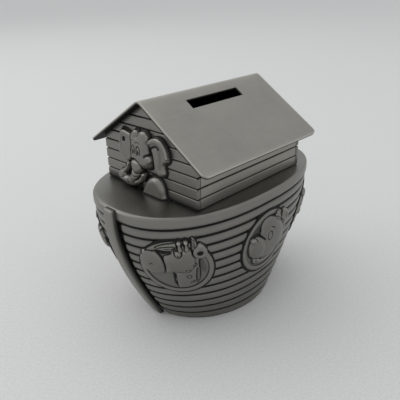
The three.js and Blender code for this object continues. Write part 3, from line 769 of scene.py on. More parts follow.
def elephant():
    r = Relief((-24, -1.2), (20, 32), sizes().relief_cell)
    parts = []

    def pad(*args, **options):
        parts.append(r.pillow(*args, **options))

    pad([(-3.6, -3), (-2.2, 1.6), (-0.2, 5.4), (2.2, 8.2), (5, 9.6), (7.8, 9.7), (10.2, 8.4), (11.7, 5.8),
         (12.4, 2.6), (12.4, -3)], 0.3, 2.8, 2.6)
    pad([(-8.2, 26.2), (-10.2, 27), (-13, 28.1), (-15.6, 27.8), (-17, 25.4), (-17.6, 22.4), (-18.4, 19), (-18.6, 16.4),
         (-17, 14), (-13.4, 12.8), (-10.6, 13.2), (-8, 17), (-8, 23)], 0.3, 1.9, 1.4)
    pad([(3.4, 24), (4.2, 26), (6.6, 27.4), (9.6, 28.1), (12.2, 27), (14.2, 24.4), (15.4, 21.4), (15.8, 19.2),
         (14.8, 17.8), (13.2, 16.8), (12.8, 15), (13.2, 12.6), (12.2, 11), (10, 10.5), (7.6, 11), (6.5, 12.4),
         (6.0, 16), (5.4, 20.4)], 0.3, 2.0, 1.8)
    r.tube([(3.6, 24.8), (6.2, 26.2), (9.2, 26.8), (11.8, 25.8), (13.8, 23.4), (15.0, 20.4)],
           [1.0, 1.2, 1.4, 1.4, 1.2, 0.8], 1.9, 0.8, blend=0.12)
    r.carve([(4.4, 22.2), (6.6, 23.6), (9.0, 24.2), (10.0, 23.4)], 1.0, 0.5, patina_and_shade_marks=0.8)
    r.carve([(10.6, 22.6), (11.2, 19.4), (10.8, 15)], 2.4, 0.25, patina_and_shade_marks=0.15)
    r.tube([(-16.4, 20), (-16.2, 24), (-14.2, 26.6), (-9.6, 25.8)], [0.7, 0.8, 1.1, 1.2], 1.8, 0.6, blend=0.12)
    r.hollow(-13.6, 23.4, 1.2, 1.5, -35, 0.8)
    pad([(-8.6, 22), (-8.5, 25.8), (-6.8, 27.6), (-3.4, 27.6), (0, 27.8), (2.6, 26.8), (3.4, 24.4), (3.0, 21.6),
         (3.4, 19.4), (4.6, 18), (5.2, 16.2), (4.6, 13.8), (2.6, 12.2), (-1, 11.6), (-3.6, 12.2), (-6.4, 13),
         (-8.8, 14.6), (-9.2, 18)], 0.3, 3.0, 3.2)
    pad([(-8.2, 24.4), (-7.6, 27), (-6, 28.9), (-4.3, 29.4), (-3, 28.4), (-2.8, 26.6), (-4.4, 24.8), (-6.4, 24)],
        2.0, 0.9, 2.2, contour=0.0, blend=0.25)
    pad([(-3.2, 26), (-2.4, 28.2), (-0.6, 29.4), (1.6, 29.5), (3.4, 27.8), (3.5, 25.8), (1.8, 24.4), (-1, 24)], 2.0,
        1.1, 2.6, contour=0.0, blend=0.25)
    r.ball(3.2, 17.0, 1.8, 1.8, 0, 2.5, 0.7, blend=0.2)
    r.carve([(1.4, 18.2), (2.4, 19.0), (3.6, 19.2)], 0.9, 0.4, patina_and_shade_marks=0.9)
    for x, y, wide in ((-2.4, 19.9, 1.3), (-5.8, 20.0, 1.0)):
        r.ball(x, y, wide * 0.7, 1.6, -5, 3.0, 0.35)
        r.carve([(x - 0.9 * wide, y - 2), (x - wide, y), (x - 0.5 * wide, y + 2), (x + 0.5 * wide, y + 2.1),
                 (x + wide, y + 0.6), (x + 0.9 * wide, y - 1.4)], 0.42, 0.4, patina_and_shade_marks=0.75)
        r.hollow(x - 0.1, y - 0.6, 0.55 * wide, 1.2, 0, 0.35, patina_and_shade_marks=0.7)
    r.carve([(-3.6, 23.8), (-2.6, 24.2), (-1.4, 23.8)], 0.4, 0.25, patina_and_shade_marks=0.45)
    r.carve([(-7.6, 24.2), (-6.9, 24.8), (-6.0, 24.5)], 0.4, 0.25, patina_and_shade_marks=0.45)
    r.tube([(-5.6, 13.0), (-6.0, 9.4), (-7.4, 5.6), (-10.4, 3.7), (-14.0, 3.7), (-17.2, 4.6)],
           [2.8, 3.1, 3.4, 2.9, 2.4, 2.1], 0.8, 2.9, contour=0.7)
    r.tube([(-16.4, 6.2), (-13.8, 8.2), (-12.0, 10.0), (-11.2, 12.2)], [1.9, 1.3, 1.1, 0.8], 1.0, 2.0, contour=0.6)
    r.hollow(-11.4, 7.4, 0.8, 1.5, -40, 0.6, patina_and_shade_marks=1.0)
    r.ball(-16.4, 5.4, 2.9, 2.2, 20, 2.0, 1.5, blend=0.2)
    pad([(-7.9, 11.2), (-8.0, 14.2), (-6.4, 15.2), (-3.8, 14.9), (-2.2, 13.9), (-2.0, 11), (-3.0, 9.2), (-5.4, 8.8),
         (-7.2, 9.6)], 2.4, 1.5, 2.0)
    for x0, y0, x1, y1 in ((-8.8, 8.4, -3.4, 7.8), (-9.6, 6.0, -4.6, 4.4), (-11.4, 4.6, -8.4, 1.4)):
        r.carve([(x0, y0), ((x0 + x1) / 2, min(y0, y1) - 0.7), (x1, y1)], 0.4, 0.3, patina_and_shade_marks=0.6)
    r.tube([(-0.6, 9.0), (-1.7, 6.9), (-3.8, 5.2), (-6.2, 4.1)], [0.9, 1.25, 1.15, 0.6], 1.6, 1.9, contour=0.8)
    stands = np.maximum.reduce(parts)
    for centre in ((-17.2, 4.8), (-13.6, 4.0), (-10.4, 3.2), (-7.6, 3.2), (-13, 8.6)):
        stands = np.maximum(stands, r.depth(oval(*centre, 2.6, 2.4)))
    r.fillet(-stands, reach=0.9)
    # Darker towards the bottom: painted shade where the relief meets the deck.
    r.patina_and_shade_marks = np.maximum(r.patina_and_shade_marks, np.clip(1.3 - r.v, 0, 1))
    return r


# ---- Hull pieces ----------------------------------------------------------------------------------


def plank_section():
    """How far each point of the planks' section stands out, and its height, from the foot up."""
    groove, crown = sizes().plank_groove, sizes().plank_crown
    steps = [(0.0, -groove), (0.3, -0.95 * groove), (0.5, -0.62 * groove), (0.66, -0.22 * groove), (0.88, 0.0),
             (1.4, 0.65 * crown), (2.0, crown)]
    section = []
    for plank in range(PLANKS):
        foot = plank * PLANK_PITCH
        rising = [(out, foot + up) for up, out in steps]
        falling = [(out, foot + PLANK_PITCH - up) for up, out in reversed(steps[1:])]
        section += rising + falling
    section[0] = (-0.35, 0.0)
    section[1] = (-0.1, 0.12)
    section.append((-groove, HULL_HEIGHT))
    return np.array(section)


def make_hull(material):
    """The two planked halves, sunk and dark where the posts cover their seams, the dark there being oxide and painted
    shade.
    """
    section = plank_section()
    inner = np.array([(-HULL_WALL, z) for z in np.linspace(HULL_HEIGHT, 0, 12)])
    loop = np.vstack([section, inner])
    for side, start, seam in (("starboard", -math.pi, -SEAM / 2), ("port", 0.0, SEAM / 2)):
        turns = np.linspace(start, start + math.pi, HULL_COLUMNS)
        turn, row = np.meshgrid(turns, np.arange(len(loop)), indexing="ij")
        proud, z = loop[row].transpose(2, 0, 1)
        outer = row < len(section)
        near_post = np.clip((STEM_HIGH[1] + POST_SHADE - np.abs(plan_point(z, turn)[1])) / 0.8, 0, 1)
        out = np.maximum(proud - np.where(outer, 1.3 * near_post, 0), -HULL_WALL + 0.2 * outer)
        x, y, z = plan_point(z, turn, out)
        y = np.where((turn == turns[0]) | (turn == turns[-1]), seam, y)
        faces = [face[::-1] for face in sheet_faces(HULL_COLUMNS, len(loop), close_columns=True).tolist()]
        last = (HULL_COLUMNS - 1) * len(loop)
        faces += [list(range(len(loop))), list(range(last, last + len(loop)))[::-1]]
        grime = np.clip(-1.3 * proud / sizes().plank_groove, 0, 1)
        # Beside the posts the planks are dark with oxide and painted shade in the gap; inside the hull they are dark
        # all over as painted shade.
        grime = np.where(outer, np.maximum(grime, near_post), 1.0)
        # The planks also darken towards the floor, as painted shade where they meet it.
        put(f"hull_planks_{side}", np.stack([x, y, z], -1), faces, material, "ark", "dark_pewter",
            [f"hull_{side}"], grime=np.maximum(grime, 0.3 * np.exp(-z / 1.5)),
            wear=np.where(outer, 0.25 * np.clip(proud / sizes().plank_crown, 0, 1), 0))


def make_deck(material):
    """The gunwale band and the deck, one casting with a well inside the cabin."""
    bottom = HULL_HEIGHT + SEAM
    bulge = DECK_HIGH[0] - DECK_HALF_LENGTH
    shoulder = 1.3
    profile = [(-BAND_WALL, bottom), (-0.5, bottom), (-0.1, bottom + 0.15), (bulge * 0.6, bottom + 0.7),
               (bulge, bottom + 1.6)]
    profile += [(bulge, z) for z in np.linspace(bottom + 2.4, DECK_TOP - shoulder - 0.3, 4)]
    rim_start = len(profile)
    profile += [(bulge - shoulder + shoulder * math.cos(a), DECK_TOP - shoulder + shoulder * math.sin(a))
                for a in np.linspace(0, math.pi / 2, 7)]
    profile += [(-1.2, DECK_TOP), (-2.0, DECK_TOP)]
    count = 320
    turns = full_turn(count)
    rings = [np.stack(plan_point(np.full(count, z), turns, out), -1) for out, z in profile]
    c, s = np.cos(turns), np.sin(turns)
    scale = (np.abs(c) ** WELL_SQUARENESS + np.abs(s) ** WELL_SQUARENESS) ** (-1 / WELL_SQUARENESS)
    well = np.stack([CABIN_MIDDLE + (CABIN_HALF_LENGTH - WELL_MARGIN) * c * scale,
                     (CABIN_HALF_WIDTH - WELL_MARGIN) * s * scale], -1)
    edge = rings[-1][:, :2]
    for part in (0.2, 0.45, 0.7, 0.9, 1.0):
        rings.append(np.column_stack([edge + (well - edge) * part, np.full(count, DECK_TOP)]))
    hidden = len(rings) - 1
    inner = np.stack(plan_point(np.full(count, bottom), turns, -BAND_WALL), -1)[:, :2]
    for ring in (well, inner):
        rings.append(np.column_stack([ring, np.full(count, DECK_TOP - DECK_THICKNESS)]))
    grid = np.array(rings)
    faces = sheet_faces(len(rings), count, close_rows=True, close_columns=True).tolist()
    grime = np.clip((bottom + 0.55 - grid[..., 2]) / 0.5, 0, 1)
    # The deck under the cabin, its well and its underside are dark all over: painted shade inside the box.
    grime[hidden:] = 1.0
    wear = np.zeros(grime.shape)
    wear[rim_start:len(profile)] = 0.1
    put("deck_and_gunwale", grid, faces, material, "ark", "dark_pewter", ["deck"], smooth=40.0,
        grime=grime, wear=wear)


def make_posts(material):
    """The bars over the bow and stern seams, with softly rounded edges."""
    rows = 60
    round_off = 0.8
    for name, end in (("bow_stem", -1), ("stern_post", 1)):
        _, (_, half, top) = box_mm(name)
        heights = np.linspace(0, top, rows)[:, None]
        side = [(half - round_off + round_off * math.sin(a), POST_DEPTH - round_off + round_off * math.cos(a))
                for a in np.linspace(0, math.pi / 2, 5)]
        section = [(-half, -0.5)] + [(-y, out) for y, out in reversed(side)] + side + [(half, -0.5)]
        y, out = np.array(section).T
        crown = np.minimum(1.0, np.minimum((top - heights) / round_off, heights / 0.4 + 0.2))
        x = end * (waterline(heights)[0] + SEAM + out * (1 - 0.35 * (1 - crown) ** 2))
        count = len(section)
        faces = sheet_faces(rows, count, close_columns=True).tolist()
        faces += [list(range(count))[::-1], [(rows - 1) * count + k for k in range(count)]]
        if end < 0:
            faces = [face[::-1] for face in faces]
        # Dark where the bar lies close to the planks, oxide and painted shade in the gap, and towards the floor as
        # painted shade.
        grime = np.maximum(np.clip((0.9 - out) / 0.9, 0, 1), 0.5 * np.exp(-heights / 1.2))
        put(name + "_bar", np.stack(np.broadcast_arrays(x, y, heights), -1), faces, material, "ark",
            "dark_pewter", [name], smooth=50.0, grime=grime, wear=np.tile(np.where(out > 1.8, 0.35, 0), rows))


# ---- Pieces modelled with the mesh tools ------------------------------------------------------------


def block_piece(name, low, high):
    """A box between two corners, in millimetres, with its place in its mesh."""
    bpy.ops.object.select_all(action="DESELECT")
    centre, size = (high + low) / 2 * MM, (high - low) * MM
    bpy.ops.mesh.primitive_cube_add(size=1, location=centre, scale=size)
    piece = bpy.context.object
    piece.name = piece.data.name = name
    bpy.ops.object.transform_apply(location=True, rotation=True, scale=True)
    return piece


def slice_piece(piece, point, normal, clear=False):
    """Cuts a piece all through on a plane, and can drop the side that the normal points to."""
    pick(piece)
    bpy.ops.object.mode_set(mode="EDIT")
    bpy.ops.mesh.select_mode(type="FACE")
    bpy.ops.mesh.select_all(action="SELECT")
    bpy.ops.mesh.bisect(
        plane_co=np.array(point) * MM, plane_no=normal, use_fill=clear, clear_outer=clear, threshold=1e-6
    )
    bpy.ops.object.mode_set(mode="OBJECT")


def select_only(piece, kind, test):
    """Selects the vertices, edges or faces that pass a test on their middle, in millimetres."""
    pick(piece)
    bpy.ops.object.mode_set(mode="EDIT")
    bpy.ops.mesh.select_mode(type=kind)
    bpy.ops.mesh.select_all(action="DESELECT")
    bpy.ops.object.mode_set(mode="OBJECT")
    mesh = piece.data
    spots = np.array([v.co for v in mesh.vertices]) / MM
    if kind == "VERT":
        for vertex in mesh.vertices:
            vertex.select = bool(test(spots[vertex.index]))
    elif kind == "EDGE":
        for edge in mesh.edges:
            edge.select = bool(test(*spots[list(edge.vertices)]))
    else:
        for face in mesh.polygons:
            face.select = bool(test(spots[list(face.vertices)].mean(0), np.array(face.normal)))
    bpy.ops.object.mode_set(mode="EDIT")


def edit_only(piece, kind, test, tool, **options):
    """Runs one mesh tool on what passes the test."""
    select_only(piece, kind, test)
    tool(**options)
    bpy.ops.object.mode_set(mode="OBJECT")


def round_edges(piece, width, segments=2, angle=35.0):
    """Rounds a piece's sharp edges, as a casting's or a cut sheet's are."""
    pick(piece)
    bevel = piece.modifiers.new("worn_edges", "BEVEL")
    bevel.width = width * MM
    bevel.segments = segments
    bevel.limit_method = "ANGLE"
    bevel.angle_limit = math.radians(angle)
    bpy.ops.object.modifier_apply(modifier=bevel.name)
    bpy.ops.object.shade_smooth_by_angle(angle=math.radians(60))
    flat = piece.modifiers.new("flat_faces", "WEIGHTED_NORMAL")
    flat.weight = 100
    bpy.ops.object.modifier_apply(modifier=flat.name)


def shade_by(piece, grime, wear):
    """Stores the dark and the rubbed values of each vertex, worked out from its place in millimetres."""
    spots = np.array([v.co for v in piece.data.vertices]) / MM
    for key, rule in (("grime", grime), ("wear", wear)):
        values = np.broadcast_to(np.asarray(rule(*spots.T), dtype=float), len(spots))
        piece.data.attributes.new(key, "FLOAT", "POINT").data.foreach_set("value", np.ascontiguousarray(values))


def make_cabin(material):
    """The walls and gables: blocks with sunk board lines, their tops cut to the roof's slope."""
    apex = RIDGE_CENTRE + (RIDGE_BEND - ROOF_SHEET - ROOF_GAP) / math.cos(ROOF_SLOPE)
    half_groove = 0.5
    depth = sizes().board_groove * MM

    # Painted shade on the inner faces and in a band under the roof's eaves; the walls also darken along their feet and
    # at the feet of the corners.
    def grime(x, y, z):
        past_end, past_side = np.abs(x - CABIN_MIDDLE) - CABIN_HALF_LENGTH, np.abs(y) - CABIN_HALF_WIDTH
        sunk = -np.maximum(past_end, past_side)
        from_foot = np.hypot(past_end, past_side) + 0.6 * (z - DECK_TOP)
        below_roof = apex - np.abs(y) * math.tan(ROOF_SLOPE) - z
        return (np.clip((sunk - 0.12) / 0.35, 0, 1) + 0.9 * np.exp(-from_foot / 0.7)
                + 0.5 * np.exp(-(z - DECK_TOP) / 0.8) + np.clip(1 - below_roof / EAVE_SHADE, 0, 1))

    outwards = {"cabin_front_gable": (-1, 0), "cabin_rear_gable": (1, 0),
                "cabin_starboard_wall": (0, -1), "cabin_port_wall": (0, 1)}
    for node, (nx, ny) in outwards.items():
        low, high = box_mm(node)
        piece = block_piece(node.replace("cabin", "boarded"), low, high + (0, 0, 4))
        axis = 0 if nx else 1
        face_at = (low if nx + ny < 0 else high)[axis]
        lines = np.arange(DECK_TOP + BOARD_PITCH, high[2], BOARD_PITCH)
        for line in lines:
            for shift in (-half_groove, 0, half_groove):
                slice_piece(piece, (0, 0, line + shift), (0, 0, 1))
        for side in (-1, 1):
            for drop in (0, EAVE_SHADE):
                slice_piece(piece, (0, 0, apex - drop), (0, side * math.sin(ROOF_SLOPE), math.cos(ROOF_SLOPE)),
                            clear=not drop)

        def on_line(p, along, place):
            return abs(p[along] - place) < NEAR and np.min(np.abs(lines - p[2])) < 0.05

        edit_only(piece, "VERT", lambda p: on_line(p, axis, face_at), bpy.ops.transform.translate,
                  value=(-nx * depth, -ny * depth, 0))
        for side in (-1, 1) if nx else ():
            edit_only(piece, "VERT", lambda p: on_line(p, 1, side * CABIN_HALF_WIDTH), bpy.ops.transform.translate,
                      value=(0, -side * depth, 0))
        round_edges(piece, 0.12, 2, 25.0)
        # Painted light: the side walls get much more of the rubbed colour than the gables, to lighten walls that face
        # away from the lamps.
        shade_by(piece, grime, lambda x, y, z: 0.15 if nx else 0.7)
        settle(piece, material, "ark", [node], smooth=0)


def make_roof(material):
    """A flat plate with its corners rounded and its slot cut, then folded along the ridge."""
    bend = RIDGE_BEND * ROOF_SLOPE
    flat = (ROOF_HIGH[1] - RIDGE_BEND * math.sin(ROOF_SLOPE)) / math.cos(ROOF_SLOPE) + bend
    half = ROOF_HIGH[0] - CABIN_MIDDLE
    piece = block_piece("folded_roof", np.array([-half, -flat, -ROOF_SHEET]), np.array([half, flat, 0.0]))
    edit_only(piece, "EDGE", lambda a, b: abs(a[2] - b[2]) > 0.5, bpy.ops.mesh.bevel,
              offset=ROOF_CORNER * MM, segments=7)
    for x in (-SLOT_HALF_LENGTH, SLOT_HALF_LENGTH):
        slice_piece(piece, (x, 0, 0), (1, 0, 0))
    ridge_cuts = [side * bend * k / 3 for side in (-1, 1) for k in (1, 2, 3)] + [0]
    for y in [-SLOT_START, -SLOT_END, *ridge_cuts]:
        slice_piece(piece, (0, y, 0), (0, 1, 0))
    for side in (-1, 1):
        for inset in (0.9, 2.5):
            slice_piece(piece, (side * (half - inset), 0, 0), (1, 0, 0))
            slice_piece(piece, (0, side * (flat - inset), 0), (0, 1, 0))
        slice_piece(piece, (0, side * (bend + 1.5), 0), (0, 1, 0))

    def in_slot(p, margin):
        return abs(p[0]) < SLOT_HALF_LENGTH + margin and -SLOT_END - margin < p[1] < margin - SLOT_START

    def on_slot_rim(p):
        off_end = abs(abs(p[0]) - SLOT_HALF_LENGTH)
        return in_slot(p, NEAR) and min(off_end, abs(p[1] + SLOT_START), abs(p[1] + SLOT_END)) < NEAR

    edit_only(piece, "FACE", lambda p, n: in_slot(p, 0) and abs(n[2]) > 0.5, bpy.ops.mesh.delete, type="FACE")
    edit_only(piece, "EDGE", lambda a, b: on_slot_rim(a) and on_slot_rim(b) and abs(a[2] - b[2]) < NEAR,
              bpy.ops.mesh.bridge_edge_loops)
    for vertex in piece.data.vertices:
        x, s, depth = np.array(vertex.co) / MM
        turn = min(abs(s) / RIDGE_BEND, ROOF_SLOPE)
        run = max(abs(s) - bend, 0.0)
        radius = RIDGE_BEND + depth
        y = radius * math.sin(turn) + run * math.cos(ROOF_SLOPE)
        z = RIDGE_CENTRE + radius * math.cos(turn) - run * math.sin(ROOF_SLOPE)
        vertex.co = Vector((CABIN_MIDDLE + x, math.copysign(y, s), z)) * MM
    round_edges(piece, sizes().edge_round, 3)

    # Painted shade on the slot's walls and on the roof's underside.
    def grime(x, y, z):
        crest = RIDGE_CENTRE + RIDGE_BEND / math.cos(ROOF_SLOPE)
        below = crest - np.abs(y) * math.tan(ROOF_SLOPE) - z
        in_cut = (np.abs(x - CABIN_MIDDLE) < SLOT_HALF_LENGTH + 0.1) & (y > SLOT_IN_PLAN[0]) & (y < SLOT_IN_PLAN[1])
        return np.clip(np.where(in_cut, (below - 0.05) / 0.4, (below - 0.95) / 0.35), 0, 1)

    def wear(x, y, z):
        from_rim = np.minimum(half - np.abs(x - CABIN_MIDDLE), flat - np.abs(y) / math.cos(ROOF_SLOPE))
        rubbed = np.maximum(np.clip(1 - from_rim / 0.8, 0, 1), np.exp(-np.abs(y) / 1.2))
        return np.clip(0.15 + 0.6 * rubbed, 0, 1)

    shade_by(piece, grime, wear)
    settle(piece, material, "ark", ["roof"], smooth=0)


def make_rings(material):
    """The raised bands round the portholes, each with a dark foot that reaches further out below the ring as painted
    shadow.
    """
    inner, outer = PORTHOLE_RADIUS - PORTHOLE_BAND, PORTHOLE_RADIUS
    shoulder = RING_TOP - 0.3
    section = np.array([  # radius, height, dark (oxide and painted shade), rubbed
        (inner, -0.6, 1, 0), (inner, shoulder, 0.9, 0), (inner + 0.1, RING_TOP - 0.1, 0.4, 0.3),
        (inner + 0.35, RING_TOP, 0, 0.3), (outer - 0.35, RING_TOP, 0, 0.3), (outer - 0.1, RING_TOP - 0.1, 0.4, 0.3),
        (outer, shoulder, 0.9, 0), (outer + 0.05, 0.36, 1, 0), (outer + 0.5, 0.3, 1, 0), (outer + 0.9, 0.26, 1, 0),
        (outer + 1.05, 0, 1, 0), (outer + 1.1, -0.6, 1, 0),
    ])
    count = 200
    turn, row = np.meshgrid(full_turn(count), np.arange(len(section)), indexing="ij")
    radius, out, grime, wear = section[row].transpose(2, 0, 1)
    # The dark foot reaches further out below the ring: painted shadow under it.
    radius = radius + np.where(radius > outer + 0.2, 0.6 * np.clip(-np.sin(turn), 0, 1), 0)
    faces = sheet_faces(count, len(section), close_rows=True, close_columns=True).tolist()
    for place, angle in PORTHOLE_TURNS.items():
        patch = HullPatch(angle, PORTHOLE_HEIGHT)
        verts = patch(radius * np.cos(turn), radius * np.sin(turn), out)
        for side in ("starboard", "port"):
            points, quads = mirrored(verts, faces) if side == "port" else (verts, faces)
            put(f"porthole_band_{place}_{side}", points, quads, material, "ark", "bright_pewter",
                [f"ring_{place}_{side}"], smooth=50.0, grime=grime, wear=wear)


def make_panels(material):
    """The animals in the portholes, the port side's mirrored."""
    sculptors = {"giraffe": giraffe, "hippo": hippo, "lion": lion}
    for place, animal in ANIMALS.items():
        relief = sculptors[animal]()
        patch = HullPatch(PORTHOLE_TURNS[place], PORTHOLE_HEIGHT)
        for side in ("starboard", "port"):
            relief.piece(f"{animal}_relief_{side}", patch, material, "relief_pewter", f"{animal}_{side}",
                         mirror=side == "port")


def make_base(metal, rubber):
    """The base plate, and the bung that fills its hole."""
    count = 160
    turns = full_turn(count)

    def circle(radius, z):
        return np.column_stack([radius * np.cos(turns), radius * np.sin(turns), np.full(count, z)])

    def oval_ring(inset, z):
        x, y, _ = plan_point(np.zeros(count), turns, -HULL_WALL - SEAM - inset)
        return np.column_stack([x, y, np.full(count, z)])

    lip = BUNG_HIGH[0] + 0.5
    hole = lip - 3.5
    top = BASE_HIGH[2]
    foot, hollow = oval_ring(0.3, 0), circle(lip + 0.3, 0)
    grid = np.array([
        oval_ring(0, top), oval_ring(0, 0.3), oval_ring(0.1, 0.1), foot, (foot + hollow) / 2, hollow,
        circle(lip + 0.1, 0.1), circle(lip, 0.3), circle(lip, RECESS - 0.2), circle(lip - 0.2, RECESS),
        circle(hole, RECESS), circle(hole, top), circle(lip, top),
    ])
    faces = [face[::-1] for face in sheet_faces(len(grid), count, close_rows=True, close_columns=True).tolist()]
    # Darker higher up: painted shade on the face inside the hull, in the recess and up the hole.
    put("base_plate_casting", grid, faces, metal, "ark", "dark_pewter", ["base_plate"],
        grime=np.clip((grid[..., 2] - 0.25) / 0.8, 0, 0.9), wear=np.full(grid.shape[:2], 0.2))

    flange, bottom = BUNG_HIGH[0], BUNG_LOW[2]
    plug_height = BUNG_HIGH[2] - bottom - BUNG_FLANGE
    bpy.ops.object.select_all(action="DESELECT")
    bpy.ops.mesh.primitive_cylinder_add(vertices=96, radius=flange * MM, depth=BUNG_FLANGE * MM,
                                        location=(0, 0, (bottom + BUNG_FLANGE / 2) * MM))
    bung = bpy.context.object
    bung.name = bung.data.name = "rubber_bung"
    bpy.ops.object.transform_apply(location=True, rotation=True, scale=True)
    select_only(bung, "FACE", lambda p, n: n[2] > 0.9)
    for inset, rise in ((BUNG_LIP, plug_height), (BUNG_WALL, BUNG_WALL - plug_height)):
        bpy.ops.mesh.inset(thickness=inset * MM)
        bpy.ops.mesh.extrude_region_move(TRANSFORM_OT_translate={"value": (0, 0, rise * MM)})
    bpy.ops.object.mode_set(mode="OBJECT")
    select_only(bung, "FACE", lambda p, n: n[2] < -0.9)
    for inset, rise in ((2.6, 0.5), (0.8, 0), (7.0, -0.4), (1.2, 0.4)):
        bpy.ops.mesh.inset(thickness=inset * MM)
        if rise:
            bpy.ops.transform.translate(value=(0, 0, rise * MM))
    bpy.ops.object.mode_set(mode="OBJECT")
    round_edges(bung, 0.2, 2, 30.0)
    shade_by(bung, lambda x, y, z: 0, lambda x, y, z: 0)
    settle(bung, rubber, "bung", ["coin_bung"], smooth=0)


# ---- Stage ----------------------------------------------------------------------------------------


CAMERA_PLACE = Vector((-164.6, -155.3, 157.8)) * MM
CAMERA_AIM = Vector((-5.65, 0.0, 52.5)) * MM
CAMERA_ROLL = math.radians(-1.25)
CAMERA_LENS = 42.2


def aim(thing, place, target, roll=0.0):
    ahead = (target - place).normalized()
    right = ahead.cross(Vector((0, 0, 1))).normalized()
    up = right.cross(ahead)
    tilted_right = right * math.cos(roll) + up * math.sin(roll)
    tilted_up = up * math.cos(roll) - right * math.sin(roll)
    turn = Matrix((tilted_right, tilted_up, -ahead)).transposed()
    thing.matrix_world = Matrix.Translation(place) @ turn.to_4x4()


def soft_light(name, place, size, power, colour):
    """Adds a rectangular lamp that points at the ark."""
    data = bpy.data.lights.new(name, "AREA")
    data.shape = "RECTANGLE"
    data.size, data.size_y = size
    data.energy = power
    data.color = colour
    light = bpy.data.objects.new(name, data)
    bpy.context.collection.objects.link(light)
    aim(light, Vector(place), Vector((0, 0, 0.05)))


def make_stage():
    bpy.ops.object.select_all(action="DESELECT")
    bpy.ops.mesh.primitive_plane_add(size=40.0, location=(0, 0, 0))
    floor = bpy.context.object
    floor.name = "floor"
    floor.data.materials.append(pale_floor())

    camera = bpy.data.objects.new("camera", bpy.data.cameras.new("camera"))
    bpy.context.collection.objects.link(camera)
    camera.data.lens = CAMERA_LENS
    camera.data.sensor_width = 36.0
    camera.data.clip_start = 0.01
    aim(camera, CAMERA_PLACE, CAMERA_AIM, CAMERA_ROLL)
    bpy.context.scene.camera = camera

    soft_light("window", (-0.1, 0.65, 1.25), (1.9, 1.9), 4.8, (1.0, 0.995, 0.98))
    soft_light("fill", (-0.7, 0.75, 0.5), (0.8, 0.6), 1.3, (0.97, 0.98, 1.0))
    world = bpy.data.worlds.new("soft_room")
    world.use_nodes = True
    background = world.node_tree.nodes["Background"].inputs
    background["Color"].default_value = (0.8, 0.81, 0.82, 1)
    background["Strength"].default_value = 0.78
    bpy.context.scene.world = world
    bpy.context.scene.view_settings.view_transform = "Standard"


# ---- Operators and panel ----------------------------------------------------------------------------


class ARK_OT_stage(bpy.types.Operator):
    """Adds the floor, the camera and the lights"""

    bl_idname = "ark.stage"
    bl_label = "Stage"

    def execute(self, context):
        make_stage()
        return {"FINISHED"}


class ARK_OT_hull(bpy.types.Operator):
    """Models the planked hull, its deck and its posts"""

    bl_idname = "ark.hull"
    bl_label = "Hull"

    def execute(self, context):
        make_hull(antique_pewter("hull_pewter", brush=(60, 60, 2600), brushed=0.25))
        # The deck's pewter is a quarter lighter than the hull's: painted light for the light the deck catches.
        make_deck(antique_pewter("deck_pewter", tone=1.25, brush=(90, 900, 900), brushed=0.2, rough=0.38))
        make_posts(antique_pewter("post_pewter", brush=(900, 2600, 60), brushed=0.35))
        return {"FINISHED"}


class ARK_OT_cabin(bpy.types.Operator):
    """Models the cabin's boarded walls and gables"""

    bl_idname = "ark.cabin"
    bl_label = "Cabin"

    def execute(self, context):
        make_cabin(antique_pewter("wall_pewter", brush=(80, 80, 2600), brushed=0.25))
        return {"FINISHED"}


class ARK_OT_roof(bpy.types.Operator):
    """Models the folded roof and its coin slot"""

    bl_idname = "ark.roof"
    bl_label = "Roof"

    def execute(self, context):
        # The roof's pewter is made much lighter than the rest: painted light for the light the roof catches from
        # above.
        make_roof(antique_pewter("roof_pewter", tone=1.68, brush=(60, 3000, 3000), brushed=0.6, rough=0.4))
        return {"FINISHED"}


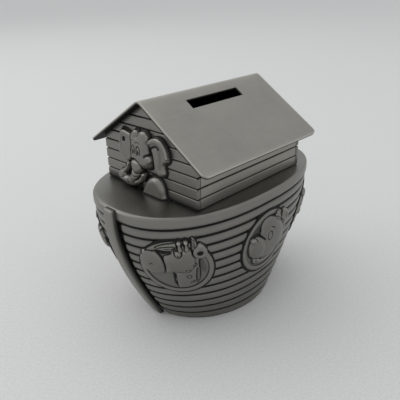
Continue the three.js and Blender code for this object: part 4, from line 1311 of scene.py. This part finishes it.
class ARK_OT_portholes(bpy.types.Operator):
    """Models the porthole rings and the animals in them"""

    bl_idname = "ark.portholes"
    bl_label = "Portholes"

    def execute(self, context):
        make_rings(antique_pewter("ring_pewter", brushed=0.15, brush=(300, 300, 300)))
        make_panels(antique_pewter("animal_pewter", brushed=0.12, brush=(300, 300, 300), rough=0.33))
        return {"FINISHED"}


class ARK_OT_elephant(bpy.types.Operator):
    """Models the elephant on the front gable"""

    bl_idname = "ark.elephant"
    bl_label = "Elephant"

    def execute(self, context):
        material = antique_pewter("elephant_pewter", brushed=0.12, brush=(300, 300, 300), rough=0.33)
        elephant().piece("elephant_relief", gable_patch, material, "relief_pewter", "elephant")
        return {"FINISHED"}


class ARK_OT_base(bpy.types.Operator):
    """Models the base plate and the rubber bung"""

    bl_idname = "ark.base"
    bl_label = "Base and bung"

    def execute(self, context):
        make_base(antique_pewter("base_pewter", brush=(900, 60, 900), brushed=0.4), black_rubber())
        return {"FINISHED"}


class ARK_PT_panel(bpy.types.Panel):
    """Lists the ark's sizes, colours and pieces"""

    bl_label = "Ark money box"
    bl_idname = "ARK_PT_panel"
    bl_space_type = "VIEW_3D"
    bl_region_type = "UI"
    bl_category = "Ark"

    def draw(self, context):
        for group in (context.scene.ark_sizes, context.scene.ark_colours):
            for key in group.bl_rna.properties.keys():
                if key not in ("rna_type", "name"):
                    self.layout.prop(group, key)
        for operator in PIECES:
            self.layout.operator(operator.bl_idname)


PIECES = (ARK_OT_stage, ARK_OT_hull, ARK_OT_cabin, ARK_OT_roof, ARK_OT_portholes, ARK_OT_elephant, ARK_OT_base)
CLASSES = (ArkSizes, ArkColours, *PIECES, ARK_PT_panel)


def register():
    for each in CLASSES:
        bpy.utils.register_class(each)
    bpy.types.Scene.ark_sizes = PointerProperty(type=ArkSizes)
    bpy.types.Scene.ark_colours = PointerProperty(type=ArkColours)


def unregister():
    del bpy.types.Scene.ark_colours
    del bpy.types.Scene.ark_sizes
    for each in reversed(CLASSES):
        bpy.utils.unregister_class(each)


def main():
    register()
    for operator in (bpy.ops.ark.stage, bpy.ops.ark.hull, bpy.ops.ark.cabin, bpy.ops.ark.roof,
                     bpy.ops.ark.portholes, bpy.ops.ark.elephant, bpy.ops.ark.base):
        operator()


if __name__ == "__main__":
    main()
